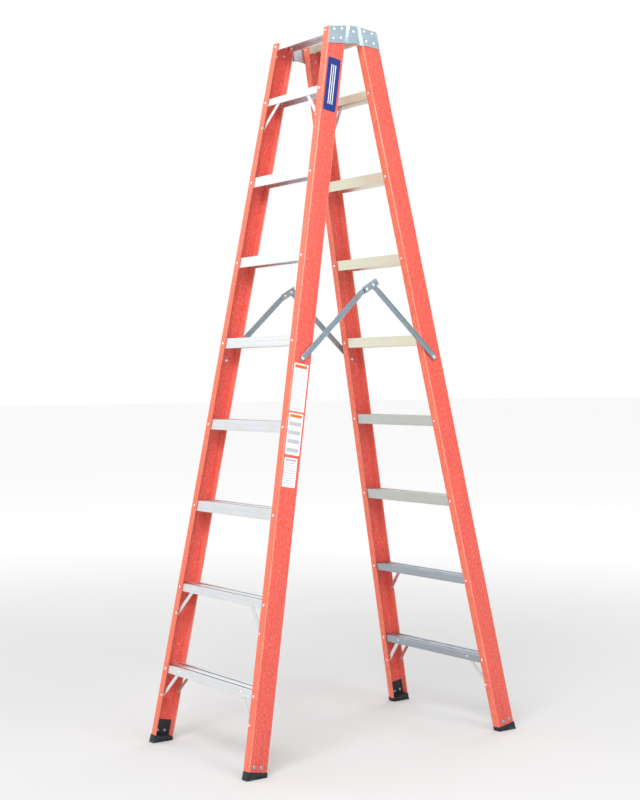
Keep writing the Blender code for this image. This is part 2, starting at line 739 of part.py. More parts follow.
def main():
    ladder = make_collection("step_ladder")
    fold_axis = add_empty("fold_axis", ladder, None, (0, 0, AXIS_LEVEL))
    build_frame("front", 1, fold_axis, ladder)
    build_frame("rear", -1, fold_axis, ladder)
    for side, label in ((1, "right"), (-1, "left")):
        build_hinge_pivot(label + "_hinge_pivot", side, fold_axis, ladder)
        build_spreader(label, side, ladder)


clear_scene()
CUTTERS = make_collection("cutters")
main()
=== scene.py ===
"""Looks of the twin step ladder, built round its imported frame.

Lengths are in metres. The ladder stands open on the floor, +Z up, its width along X, with the
front frame on the -Y side and the rear frame, the same frame turned about Z, on the +Y side.
A frame's own axes are X across the width, Y through the rail's depth from the climbing face, and
Z up the slope.
"""
import json
import logging
import math
from dataclasses import dataclass
from enum import Enum
from typing import Callable, Iterable, Sequence

import bmesh
import bpy
from mathutils import Matrix, Vector


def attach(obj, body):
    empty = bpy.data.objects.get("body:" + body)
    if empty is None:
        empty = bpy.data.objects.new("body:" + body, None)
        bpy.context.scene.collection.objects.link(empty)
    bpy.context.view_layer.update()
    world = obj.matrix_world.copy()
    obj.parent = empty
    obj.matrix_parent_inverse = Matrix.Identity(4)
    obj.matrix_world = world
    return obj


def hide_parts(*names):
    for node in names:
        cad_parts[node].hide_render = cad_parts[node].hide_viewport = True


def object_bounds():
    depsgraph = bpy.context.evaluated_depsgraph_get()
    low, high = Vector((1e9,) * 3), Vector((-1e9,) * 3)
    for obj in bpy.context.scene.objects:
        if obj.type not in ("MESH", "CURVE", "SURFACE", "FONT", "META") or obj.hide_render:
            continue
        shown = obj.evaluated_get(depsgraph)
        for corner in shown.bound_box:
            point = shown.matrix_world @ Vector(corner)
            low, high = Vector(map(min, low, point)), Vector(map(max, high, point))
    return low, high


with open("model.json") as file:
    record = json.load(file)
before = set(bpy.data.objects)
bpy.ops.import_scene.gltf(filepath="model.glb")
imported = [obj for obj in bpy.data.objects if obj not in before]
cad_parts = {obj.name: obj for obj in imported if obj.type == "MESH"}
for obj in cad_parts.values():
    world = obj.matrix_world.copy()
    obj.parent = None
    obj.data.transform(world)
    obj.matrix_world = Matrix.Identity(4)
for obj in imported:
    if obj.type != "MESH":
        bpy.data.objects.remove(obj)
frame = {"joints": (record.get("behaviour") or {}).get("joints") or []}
CAD_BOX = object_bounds()

log = logging.getLogger("step_ladder")

SMOOTH_BELOW = math.radians(38)     # edges that bend less are shaded smooth
FULL_TURN = 2 * math.pi
TAIL_SHAPE = ((1.0, 0.0), (0.97, 0.5), (0.82, 0.9), (0.6, 1.0), (0.0, 1.0))    # (radius, depth)

Point = tuple[float, float]
Colour = tuple[float, float, float]


class End(Enum):
    """The two frames of the ladder."""

    FRONT = "front"
    REAR = "rear"

    @property
    def facing(self) -> int:
        """1 for the front frame and -1 for its twin, which is turned about Z."""
        return 1 if self is End.FRONT else -1

    @property
    def body(self) -> str:
        """Name of the moving body that the frame is."""
        return f"{self.value}_frame"

    def label(self, side: int) -> str:
        """Name of the rail on a side of the frame's own axes, as in front_left."""
        return f"{self.value}_{'right' if side * self.facing > 0 else 'left'}"


# Shader maths

class Wire:
    """A shader socket that Python's operators do maths on."""

    def __init__(self, graph: "Graph", socket: bpy.types.NodeSocket) -> None:
        """Keep the graph that the socket is in."""
        self.graph = graph
        self.socket = socket

    def _maths(self, operation: str, first: "Wire | float", second: "Wire | float") -> "Wire":
        """Result of one Math node, for an operation on two values."""
        return self.graph.node("ShaderNodeMath", {"operation": operation}, {0: first, 1: second})

    def __add__(self, other: "Wire | float") -> "Wire":
        """Sum."""
        return self._maths("ADD", self, other)

    def __radd__(self, other: float) -> "Wire":
        """Sum."""
        return self._maths("ADD", other, self)

    def __sub__(self, other: "Wire | float") -> "Wire":
        """Difference."""
        return self._maths("SUBTRACT", self, other)

    def __rsub__(self, other: float) -> "Wire":
        """Difference from a number."""
        return self._maths("SUBTRACT", other, self)

    def __mul__(self, other: "Wire | float") -> "Wire":
        """Product."""
        return self._maths("MULTIPLY", self, other)

    def __rmul__(self, other: float) -> "Wire":
        """Product."""
        return self._maths("MULTIPLY", other, self)

    def __truediv__(self, other: "Wire | float") -> "Wire":
        """Quotient."""
        return self._maths("DIVIDE", self, other)

    def __gt__(self, other: "Wire | float") -> "Wire":
        """1 where it is greater, else 0."""
        return self._maths("GREATER_THAN", self, other)

    def __lt__(self, other: "Wire | float") -> "Wire":
        """1 where it is less, else 0."""
        return self._maths("LESS_THAN", self, other)

    def __abs__(self) -> "Wire":
        """Absolute value."""
        return self._maths("ABSOLUTE", self, 0.0)

    def fraction(self) -> "Wire":
        """What is left above the whole number."""
        return self._maths("FRACT", self, 0.0)

    def at_most(self, other: "Wire | float") -> "Wire":
        """The smaller of the two."""
        return self._maths("MINIMUM", self, other)

    def between(self, low: float, high: float) -> "Wire":
        """A smooth rise from 0 at low to 1 at high."""
        settings = {"interpolation_type": "SMOOTHSTEP"}
        return self.graph.node("ShaderNodeMapRange", settings, {0: self, 1: low, 2: high})

    def scaled(self, factors: Sequence[float]) -> "Wire":
        """A vector multiplied axis by axis."""
        settings = {"operation": "MULTIPLY"}
        return self.graph.node("ShaderNodeVectorMath", settings, {0: self, 1: tuple(factors)})

    def axis(self, index: int) -> "Wire":
        """One number of a vector."""
        return self.graph.node("ShaderNodeSeparateXYZ", {}, {0: self}, index)


class Graph:
    """The nodes of a material or the world, with the shader that they feed."""

    def __init__(self, owner: bpy.types.Material | bpy.types.World, shader: str) -> None:
        """Turn on the owner's nodes.

        Args:
            owner: whose nodes they are.
            shader: name of its shader's node.
        """
        owner.use_nodes = True
        self.owner = owner
        self.tree = owner.node_tree
        self.shader = self.tree.nodes[shader]

    @classmethod
    def of_material(cls, name: str, roughness: float, metallic: float) -> "Graph":
        """Start a material.

        Args:
            name: the material's name.
            roughness: its roughness where no wire says otherwise.
            metallic: its metallic value.

        Returns:
            Its graph.
        """
        graph = cls(bpy.data.materials.new(name), "Principled BSDF")
        graph.feed(Roughness=roughness, Metallic=metallic)
        return graph

    def node(self, kind: str, settings: dict, inputs: dict, output: int = 0) -> Wire:
        """Add any node.

        Args:
            kind: the node's type.
            settings: its properties, set first; stops are a ramp's (position, colour) pairs.
            inputs: socket name or number to a value or a wire.
            output: number of the output to return.

        Returns:
            That output.
        """
        made = self.tree.nodes.new(kind)
        for key, value in settings.items():
            if key == "stops":
                self._set_stops(made.color_ramp, value)
            else:
                setattr(made, key, value)
        for key, value in inputs.items():
            self._plug(made.inputs[key], value)
        return Wire(self, made.outputs[output])

    def _plug(self, socket: bpy.types.NodeSocket, value: "Wire | float | Sequence") -> None:
        """Link a wire to a socket, or set its value.

        Args:
            socket: the input.
            value: a wire, a number or a row of numbers.
        """
        if isinstance(value, Wire):
            self.tree.links.new(value.socket, socket)
        elif socket.type == "RGBA" and len(value) == 3:
            socket.default_value = (*value, 1.0)
        else:
            socket.default_value = value

    @staticmethod
    def _set_stops(ramp: bpy.types.ColorRamp, stops: Sequence[tuple[float, Colour]]) -> None:
        """Give a ramp its stops.

        Args:
            ramp: the node's ramp.
            stops: its (position, colour) pairs.
        """
        while len(ramp.elements) < len(stops):
            ramp.elements.new(1.0)
        for element, (position, colour) in zip(ramp.elements, stops):
            element.position = position
            element.color = (*colour, 1.0)

    def feed(self, **values: "Wire | float | Sequence") -> None:
        """Feed sockets of the shader, an underscore standing for a space."""
        for key, value in values.items():
            self._plug(self.shader.inputs[key.replace("_", " ")], value)

    def place(self) -> Wire:
        """Where a point of the piece is, in the piece's own axes."""
        return self.node("ShaderNodeTexCoord", {}, {}, 3)

    def noise(self, where: Wire, scale: float, detail: float = 2.0, rough: float = 0.5) -> Wire:
        """Soft noise from 0 to 1, by features per metre, finer layers and their weight."""
        inputs = {"Vector": where, "Scale": scale, "Detail": detail, "Roughness": rough}
        return self.node("ShaderNodeTexNoise", {}, inputs)

    def cells(self, where: Wire, scale: float) -> Wire:
        """A grey of its own for each cell of a crystal-like pattern."""
        colour = self.node("ShaderNodeTexVoronoi", {}, {"Vector": where, "Scale": scale}, 1)
        return colour.axis(0)

    def mix(self, share: "Wire | float", first: "Wire | Colour",
            second: "Wire | Colour") -> Wire:
        """Blend two colours, by the share of the second."""
        settings = {"data_type": "RGBA"}
        return self.node("ShaderNodeMix", settings, {0: share, 6: first, 7: second}, 2)

    def bump(self, height: Wire, distance: float, strength: float = 1.0) -> None:
        """Feed the shader's normal from a height of 0 to 1 that stands for a distance."""
        inputs = {"Strength": strength, "Distance": distance, "Height": height}
        self.feed(Normal=self.node("ShaderNodeBump", {}, inputs))


# Finishes

@dataclass(frozen=True)
class Fibreglass:
    """Pultruded glass-fibre profile: fine flecks, drawn-out streaks, a thin resin gloss, a warmer
    tint on the flanges that is painted light, and a painted highlight along the bends.
    """

    depth: float
    corner: float
    slot: str = "rail_fibreglass"
    base: Colour = (0.86, 0.105, 0.070)
    deep: Colour = (0.66, 0.045, 0.030)
    pale: Colour = (0.95, 0.38, 0.32)
    # painted light: a warmer tint for the flange faces, standing in for how the light falls on them
    flange: Colour = (0.92, 0.185, 0.080)
    # painted highlight colour for the bends between web and flanges
    bend_highlight: Colour = (0.98, 0.50, 0.42)
    roughness: float = 0.34
    gloss: float = 0.22
    streaks: float = 260.0          # per metre, as the next three are
    flecks: float = 520.0
    clouds: float = 30.0
    mottles: float = 190.0
    relief: float = 0.00022

    def material(self) -> bpy.types.Material:
        """Material in a rail's own axes.

        Returns:
            The material.
        """
        graph = Graph.of_material(self.slot, self.roughness, 0.0)
        place = graph.place()
        streak = graph.noise(place.scaled((1, 1, 0.02)), self.streaks, 3, 0.6)
        fleck = graph.noise(place.scaled((1, 1, 0.4)), self.flecks, 3, 0.7)
        cloud = graph.noise(place.scaled((1, 1, 0.3)), self.clouds, 3)
        mottle = graph.noise(place.scaled((1, 1, 0.5)), self.mottles, 4, 0.75)
        from_middle = abs(place.axis(1) - self.depth / 2)
        on_flange = from_middle.between(self.depth / 2 - self.corner, self.depth / 2)
        on_bend = on_flange * (1.0 - on_flange) * 4.0
        colour = graph.mix(streak.between(0.40, 0.72) * 0.55, self.base, self.deep)
        # painted light: the flanges get a warmer tint that stands in for the light on them
        colour = graph.mix(on_flange * 0.75, colour, self.flange)
        colour = graph.mix(cloud.between(0.45, 0.75) * 0.22, colour, self.deep)
        colour = graph.mix(fleck.between(0.52, 0.78) * 0.50, colour, self.pale)
        colour = graph.mix(mottle.between(0.50, 0.70) * 0.50, colour, self.pale)
        colour = graph.mix((1.0 - mottle.between(0.34, 0.50)) * 0.55, colour, self.deep)
        # painted highlight: a pale, streaked line along the bends between web and flanges
        colour = graph.mix(on_bend * streak.between(0.3, 0.6) * 0.45, colour, self.bend_highlight)
        graph.feed(Base_Color=colour, Roughness=self.roughness + fleck * 0.16,
                   Coat_Weight=self.gloss, Coat_Roughness=0.22)
        graph.bump(fleck * 0.5 + streak * 0.5, self.relief)
        return graph.owner


@dataclass(frozen=True)
class MillAluminium:
    """Aluminium with die lines or an even grain, dull patches and light handling marks."""

    slot: str
    along: tuple[float, float, float]       # scale of each axis, small where the lines run
    bright: Colour = (0.84, 0.87, 0.90)
    dull: Colour = (0.55, 0.59, 0.63)
    warm: Colour = (0.82, 0.79, 0.66)
    roughness: float = 0.30
    metallic: float = 0.92
    die_lines: float = 900.0        # per metre, as the next two are
    patches: float = 9.0
    scuffs: float = 130.0
    relief: float = 0.00006

    def metal(self, graph: Graph, place: Wire) -> tuple[Wire, Wire]:
        """Colour and height of the plain metal.

        Args:
            graph: the material's graph.
            place: points in the piece's own axes.

        Returns:
            The colour and the height.
        """
        lines = graph.noise(place.scaled(self.along), self.die_lines, 2, 0.7)
        patch = graph.noise(place, self.patches, 4, 0.6)
        scuff = graph.noise(place, self.scuffs, 4, 0.75)
        colour = graph.mix(patch.between(0.42, 0.66) * 0.6, self.bright, self.warm)
        colour = graph.mix(lines.between(0.35, 0.75) * 0.40, colour, self.dull)
        colour = graph.mix(scuff.between(0.60, 0.80) * 0.35, colour, self.dull)
        roughness = self.roughness + lines * 0.10 + scuff.between(0.5, 0.8) * 0.12
        graph.feed(Roughness=roughness)
        return colour, lines * 0.7 + scuff * 0.3

    def material(self) -> bpy.types.Material:
        """Material in a piece's own axes.

        Returns:
            The material.
        """
        graph = Graph.of_material(self.slot, self.roughness, self.metallic)
        colour, height = self.metal(graph, graph.place())
        graph.feed(Base_Color=colour)
        graph.bump(height, self.relief)
        return graph.owner


@dataclass(frozen=True)
class TreadAluminium(MillAluminium):
    """Mill aluminium whose grooves carry painted shade and whose gripping bands are worn bright."""

    grooves: tuple[float, ...] = ()
    groove_half: float = 0.0038
    # painted shade colour for the grooves
    groove_shade: Colour = (0.08, 0.12, 0.20)
    half_depth: float = 0.03775
    deck_edge: Point = (0.0300, 0.0318)     # from the middle, where the worn deck fades out
    groove_fade: Point = (0.8, 1.2)         # shares of a groove's half width

    def material(self) -> bpy.types.Material:
        """Material in a tread's own axes, Y through its depth.

        Returns:
            The material.
        """
        graph = Graph.of_material(self.slot, self.roughness, self.metallic)
        place = graph.place()
        colour, height = self.metal(graph, place)
        depth = place.axis(1)
        on_deck = 1.0 - abs(depth - self.half_depth).between(*self.deck_edge)
        wear = graph.noise(place.scaled((0.3, 1, 1)), 60, 3, 0.6)
        worn = tuple(0.5 + value / 2 for value in self.bright)
        colour = graph.mix(on_deck * wear.between(0.30, 0.60) * 0.7, colour, worn)
        smear = 0.68 + graph.noise(place.scaled((0.2, 1, 1)), 40, 3) * 0.5
        # painted shade: each groove is darkened towards the blue-black, unevenly along it
        for centre in self.grooves:
            fade = [self.groove_half * share for share in self.groove_fade]
            inside = 1.0 - abs(depth - centre).between(*fade)
            colour = graph.mix((inside * smear).at_most(1.0), colour, self.groove_shade)
        graph.feed(Base_Color=colour)
        graph.bump(height, self.relief)
        return graph.owner


@dataclass(frozen=True)
class Galvanised:
    """Zinc-coated steel: blue-grey, with a faint crystal pattern and dull smears."""

    slot: str
    light: Colour = (0.55, 0.70, 0.80)
    dark: Colour = (0.40, 0.53, 0.62)
    roughness: float = 0.42
    metallic: float = 0.72
    spangles: float = 260.0         # per metre, as the next two are
    smears: float = 45.0
    grains: float = 1400.0
    relief: float = 0.00005

    def material(self) -> bpy.types.Material:
        """Material in a piece's own axes.

        Returns:
            The material.
        """
        graph = Graph.of_material(self.slot, self.roughness, self.metallic)
        place = graph.place()
        spangle = graph.cells(place, self.spangles)
        smear = graph.noise(place, self.smears, 4, 0.65)
        grain = graph.noise(place, self.grains, 2)
        colour = graph.mix(spangle * 0.35, self.light, self.dark)
        colour = graph.mix(smear.between(0.45, 0.75) * 0.5, colour, self.dark)
        roughness = self.roughness + spangle * 0.08 + smear.between(0.4, 0.7) * 0.12
        graph.feed(Base_Color=colour, Roughness=roughness)
        graph.bump(grain * 0.6 + spangle * 0.4, self.relief)
        return graph.owner


@dataclass(frozen=True)
class Rubber:
    """Moulded black rubber, dusty grey where it rubs the floor."""

    slot: str = "foot_rubber"
    black: Colour = (0.012, 0.015, 0.020)
    dust: Colour = (0.085, 0.095, 0.105)
    dust_height: float = 0.022
    roughness: float = 0.46
    grains: float = 1100.0          # per metre, as the smudges are
    smudges: float = 60.0
    relief: float = 0.00012

    def material(self) -> bpy.types.Material:
        """Material in a foot's own axes, its height along Z.

        Returns:
            The material.
        """
        graph = Graph.of_material(self.slot, self.roughness, 0.0)
        place = graph.place()
        grain = graph.noise(place, self.grains, 3, 0.7)
        smudge = graph.noise(place, self.smudges, 4, 0.65)
        low = 1.0 - place.axis(2).between(0.0, self.dust_height)
        dusty = smudge.between(0.42, 0.68) * (0.18 + low * 0.55)
        colour = graph.mix(dusty, self.black, self.dust)
        graph.feed(Base_Color=colour,
                   Roughness=self.roughness + grain * 0.18 + dusty * 0.15)
        graph.bump(grain, self.relief)
        return graph.owner


@dataclass(frozen=True)
class BrightRivet:
    """Set rivets: bright metal with faint smears and pits."""

    slot: str = "rivet_steel"
    bright: Colour = (0.90, 0.91, 0.92)
    dull: Colour = (0.55, 0.58, 0.61)
    roughness: float = 0.17
    smears: float = 320.0           # per metre, as the pits are
    pits: float = 2600.0
    relief: float = 0.00003

    def material(self) -> bpy.types.Material:
        """Material for small domed pieces.

        Returns:
            The material.
        """
        graph = Graph.of_material(self.slot, self.roughness, 1.0)
        place = graph.place()
        smear = graph.noise(place, self.smears, 3, 0.7)
        pits = graph.noise(place, self.pits, 2, 0.6)
        colour = graph.mix(smear.between(0.45, 0.8) * 0.5, self.bright, self.dull)
        graph.feed(Base_Color=colour, Roughness=self.roughness + smear * 0.12)
        graph.bump(pits, self.relief)
        return graph.owner


@dataclass(frozen=True)
class Print:
    """A plain printed sticker: a ground colour, a header bar and a few rules, with no lettering."""

    name: str
    width: float
    height: float
    ground: Colour
    header: Colour
    header_height: float
    rules: Colour
    rule_pitch: float = 0.0
    rule_share: float = 0.3
    margin: float = 0.005
    bars: int = 0
    bar_pitch: float = 0.0085
    bar_share: float = 0.4          # of the pitch
    bar_height: float = 0.74        # share of the sticker's
    scuffs: float = 160.0           # per metre
    scuffed: Colour = (0.5, 0.5, 0.52)
    rule_ink: float = 0.8
    roughness: float = 0.28

    def material(self) -> bpy.types.Material:
        """Material in the sticker's own axes, X across and Y up from its middle.

        Returns:
            The material.
        """
        graph = Graph.of_material(self.name, self.roughness, 0.0)
        place = graph.place()
        across = abs(place.axis(0))
        below_top = self.height / 2 - place.axis(1)
        inside = across < self.width / 2 - self.margin
        scuff = graph.noise(place, self.scuffs, 4, 0.7)
        colour = graph.mix(scuff.between(0.5, 0.9) * 0.12, self.ground, self.scuffed)
        if self.bars:
            row = (place.axis(0) / self.bar_pitch + 0.5 * self.bars).fraction()
            bar = abs(row - 0.5) < self.bar_share / 2
            bar = bar * (across < 0.5 * self.bars * self.bar_pitch)
            bar = bar * (abs(place.axis(1)) < self.bar_height / 2 * self.height)
            colour = graph.mix(bar, colour, self.header)
        if self.header_height:
            head = (below_top > self.margin) * (below_top < self.margin + self.header_height)
            colour = graph.mix(head * inside, colour, self.header)
        if self.rule_pitch:
            start = 2 * self.margin + self.header_height
            body = (below_top > start) * (below_top < self.height - self.margin)
            rule = (below_top / self.rule_pitch).fraction() < self.rule_share
            colour = graph.mix(body * inside * rule * self.rule_ink, colour, self.rules)
        graph.feed(Base_Color=colour, Roughness=self.roughness + scuff * 0.1, Coat_Weight=0.3,
                   Coat_Roughness=0.15)
        return graph.owner


# Meshes

def add_object(name: str, data: bpy.types.ID) -> bpy.types.Object:
    """Add an object to the scene.

    Args:
        name: its name.
        data: its mesh, light or camera.

    Returns:
        The object.
    """
    made = bpy.data.objects.new(name, data)
    bpy.context.scene.collection.objects.link(made)
    return made


def arc(centre: Point, radius: float, start: float, end: float, steps: int) -> list[Point]:
    """Points round a centre between two angles in degrees, both ends included."""
    angles = [math.radians(start + (end - start) * i / steps) for i in range(steps + 1)]
    return [(centre[0] + radius * math.cos(a), centre[1] + radius * math.sin(a)) for a in angles]


def finish_mesh(shape: bmesh.types.BMesh, name: str, flip: bool = False) -> bpy.types.Mesh:
    """Turn a bmesh into a mesh that is shaded smooth but for its sharp edges.

    Args:
        shape: the shape, which is freed.
        name: the mesh's name.
        flip: mirror it across X = 0.

    Returns:
        The mesh.
    """
    if flip:
        bmesh.ops.scale(shape, vec=(-1, 1, 1), verts=shape.verts)
    bmesh.ops.recalc_face_normals(shape, faces=shape.faces)
    mesh = bpy.data.meshes.new(name)
    shape.to_mesh(mesh)
    shape.free()
    mesh.shade_smooth()
    mesh.set_sharp_from_angle(angle=SMOOTH_BELOW)
    return mesh


def loft(shape: bmesh.types.BMesh, rings: Sequence[Sequence[Vector]]) -> None:
    """Skin a row of rings of equal length and cap both ends.

    Args:
        shape: bmesh that takes the faces.
        rings: the rings, each a closed loop of points.
    """
    rows = [[shape.verts.new(point) for point in ring] for ring in rings]
    count = len(rows[0])
    for low, high in zip(rows, rows[1:]):
        for i in range(count):
            j = (i + 1) % count
            shape.faces.new((low[i], low[j], high[j], high[i]))
    shape.faces.new(list(reversed(rows[0])))
    shape.faces.new(rows[-1])


def revolve(shape: bmesh.types.BMesh, profile: Sequence[Point], place: Matrix,
            steps: int = 20) -> None:
    """Turn a profile of (radius, height) about the Z axis of a place.

    Args:
        shape: bmesh that takes the faces.
        profile: points from the top centre to the bottom centre.
        place: where its Z axis and origin are.
        steps: facets round the axis.
    """
    rings = []
    for radius, height in profile:
        if radius == 0.0:
            rings.append([shape.verts.new(place @ Vector((0, 0, height)))])
            continue
        ring = []
        for i in range(steps):
            angle = FULL_TURN * i / steps
            spot = Vector((radius * math.cos(angle), radius * math.sin(angle), height))
            ring.append(shape.verts.new(place @ spot))
        rings.append(ring)
    for upper, lower in zip(rings, rings[1:]):
        for i in range(steps):
            j = (i + 1) % steps
            corners = [upper[i % len(upper)], lower[i % len(lower)],
                       lower[j % len(lower)], upper[j % len(upper)]]
            shape.faces.new(list(dict.fromkeys(corners)))


def dome(radius: float, height: float, rim: float, base: float = 0.0,
         steps: int = 6) -> list[Point]:
    """Profile of a domed head, from its top to the foot of its rim.

    Args:
        radius: of the head.
        height: of the dome above the rim.
        rim: height of the upright rim.
        base: height that it stands on.
        steps: chords of the dome.

    Returns:
        The profile.
    """
    points = [(0.0, base + rim + height)]
    for i in range(1, steps + 1):
        angle = math.pi / 2 * (1 - i / steps)
        points.append((radius * math.cos(angle), base + rim + height * math.sin(angle)))
    return points + [(radius, base)]


def tail(radius: float, height: float, base: float) -> list[Point]:
    """Profile of a set rivet's tail below a base, down to its centre."""
    return [(radius * out, base - height * down) for out, down in TAIL_SHAPE]


# The ladder's layout

@dataclass(frozen=True)
class Layout:
    """Sizes that place the pieces, and the axes of the two frames."""

    slope: float
    axis_level: float
    half_width: float = 0.3378
    flare: float = 0.0602
    top_half_gap: float = 0.0288
    rail_depth: float = 0.0755
    rail_flange: float = 0.0333
    rail_wall: float = 0.004
    rail_corner: float = 0.006
    rail_start: float = 0.030
    treads: int = 9
    first_tread: float = 0.271
    tread_pitch: float = 0.300
    top_tread_pitch: float = 0.2120
    rivet_inset: float = 0.0203
    gap: float = 0.0003

    @classmethod
    def from_joints(cls, joints: Iterable[dict]) -> "Layout":
        """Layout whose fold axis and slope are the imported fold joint's."""
        fold = next(joint for joint in joints if joint["name"] == "fold")
        return cls(slope=math.radians(fold["range_deg"][1] / 2), axis_level=fold["pos_m"][2])

    @property
    def half_spread(self) -> float:
        """Middle of the ladder to the foot of a frame's climbing face."""
        run = self.axis_level * math.tan(self.slope)
        return self.top_half_gap + self.rail_depth / math.cos(self.slope) + run

    @property
    def top_rivet(self) -> float:
        """Height up the slope of the highest tread's rivets."""
        return self.first_tread + (self.treads - 2) * self.tread_pitch + self.top_tread_pitch

    def frame_matrix(self, end: End) -> Matrix:
        """Axes of a frame.

        Args:
            end: which frame.

        Returns:
            The axes at rest.
        """
        lean = Matrix.Rotation(-self.slope, 4, "X")
        front = Matrix.Translation((0, -self.half_spread, 0)) @ lean
        if end is End.FRONT:
            return front
        return Matrix.Rotation(math.pi, 4, "Z") @ front

    def rail_matrix(self, end: End, side: int) -> Matrix:
        """Axes of a rail: its outer face is X = 0 and Z runs along it."""
        lean = Matrix.Rotation(-side * math.atan(self.flare), 4, "Y")
        return self.frame_matrix(end) @ Matrix.Translation((side * self.half_width, 0, 0)) @ lean

    def rail_face(self, up: float) -> float:
        """Distance from the middle to the rails' outer faces at a height up the slope."""
        return self.half_width - self.flare * up

    def rivet_up(self, number: int) -> float:
        """Height up the slope of a tread's rivets in the climbing-side flange.

        Args:
            number: the tread's number, from 1 at the floor.

        Returns:
            The height.
        """
        if number == self.treads:
            return self.top_rivet
        return self.first_tread + (number - 1) * self.tread_pitch

    def inner_rise(self) -> float:
        """Rise up the slope of a level line through the rail's whole depth."""
        return self.rail_depth * math.tan(self.slope)

    def axis_in_frame(self) -> Point:
        """Depth and height up the slope of the fold axis.

        Returns:
            The depth and the height.
        """
        depth = self.half_spread * math.cos(self.slope) - self.axis_level * math.sin(self.slope)
        up = self.half_spread * math.sin(self.slope) + self.axis_level * math.cos(self.slope)
        return depth, up

    def level_to_frame(self, inward: float, height: float) -> Point:
        """Depth and height up the slope of a point given level from the fold axis.

        Args:
            inward: level distance past the axis.
            height: height above the axis.

        Returns:
            The depth and the height up the slope.
        """
        depth, up = self.axis_in_frame()
        return (depth + inward * math.cos(self.slope) - height * math.sin(self.slope),
                up + inward * math.sin(self.slope) + height * math.cos(self.slope))

    def axis_face(self) -> float:
        """Distance from the middle to the rails' outer faces, level with the fold axis."""
        return self.rail_face(self.level_to_frame(-self.top_half_gap, 0.0)[1])


@dataclass
class Bench:
    """What every sub-assembly needs: the layout and a finish for each slot."""

    layout: Layout
    finishes: dict[str, bpy.types.Material]

    def add(self, name: str, mesh: bpy.types.Mesh, place: Matrix, body: str, slot: str,
            stands_for: Sequence[str] = (), material: bpy.types.Material | None = None
            ) -> bpy.types.Object:
        """Put a piece on its body.

        Args:
            name: the piece's name.
            mesh: its mesh, in its own axes.
            place: its axes at rest.
            body: the moving body that it rides on.
            slot: the record's material slot.
            stands_for: the frame's nodes that it is shown in place of.
            material: its finish, where it isn't the slot's.

        Returns:
            The piece.
        """
        piece = add_object(name, mesh)
        piece.matrix_world = place
        mesh.materials.append(material or self.finishes[slot])
        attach(piece, body)
        if stands_for:
            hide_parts(*stands_for)
        log.info("%s on %s: %d faces", name, body, len(mesh.polygons))
        return piece


# Rails and feet

@dataclass
class Rail:
    """A channel rail that opens towards the middle of the ladder."""

    bench: Bench
    end: End
    side: int
    tip: float = 0.0013
    corner_steps: int = 8
    bend_steps: int = 4
    bevel: float = 0.0004
    cap_drop: float = 0.0125

    def outline(self) -> list[Point]:
        """Section through the rail: X from the outer face and Y through its depth.

        Returns:
            The closed outline.
        """
        layout = self.bench.layout
        edge = layout.rail_flange - self.tip
        far = layout.rail_depth
        turn = layout.rail_corner
        wall = layout.rail_wall
        bend = turn - wall
        points = arc((-edge, self.tip), self.tip, 180, 270, self.bend_steps)
        points += arc((-turn, turn), turn, -90, 0, self.corner_steps)
        points += arc((-turn, far - turn), turn, 0, 90, self.corner_steps)
        points += arc((-edge, far - self.tip), self.tip, 90, 180, self.bend_steps)
        points += arc((-edge, far - wall + self.tip), self.tip, 180, 270, self.bend_steps)
        points += arc((-turn, far - turn), bend, 90, 0, self.bend_steps)
        points += arc((-turn, turn), bend, 0, -90, self.bend_steps)
        return points + arc((-edge, wall - self.tip), self.tip, 90, 180, self.bend_steps)

    def build(self) -> None:
        """Rail from the foot to its level upper end."""
        layout = self.bench.layout
        top = layout.top_rivet + self.cap_drop / math.cos(layout.slope)
        lean = math.atan(layout.flare)
        outline = self.outline()
        middle = Vector((-layout.rail_flange / 2, layout.rail_depth / 2))

        def ring(inset: float, at: Callable[[float, float], float]) -> list[Vector]:
            """The outline drawn in by an inset, at a height that each point gives.

            Args:
                inset: how far it is drawn in.
                at: height for a point of the outline.

            Returns:
                The ring.
            """
            points = []
            for across, depth in outline:
                toward = (middle - Vector((across, depth))).normalized() * inset
                points.append(Vector((across + toward.x, depth + toward.y, at(across, depth))))
            return points

        def upper(across: float, depth: float) -> float:
            """Where the rail is cut level at the top."""
            up = top + depth * math.tan(layout.slope)
            return (up - across * math.sin(lean)) / math.cos(lean)

        start = layout.rail_start
        shape = bmesh.new()
        loft(shape, [ring(self.bevel, lambda x, y: start),
                     ring(0.0, lambda x, y: start + self.bevel),
                     ring(0.0, lambda x, y: upper(x, y) - self.bevel),
                     ring(self.bevel, upper)])
        label = self.end.label(self.side)
        mesh = finish_mesh(shape, label + "_rail_profile", self.side < 0)
        self.bench.add(label + "_rail_profile", mesh, layout.rail_matrix(self.end, self.side),
                       self.end.body, "rail_fibreglass", [label + "_rail"])


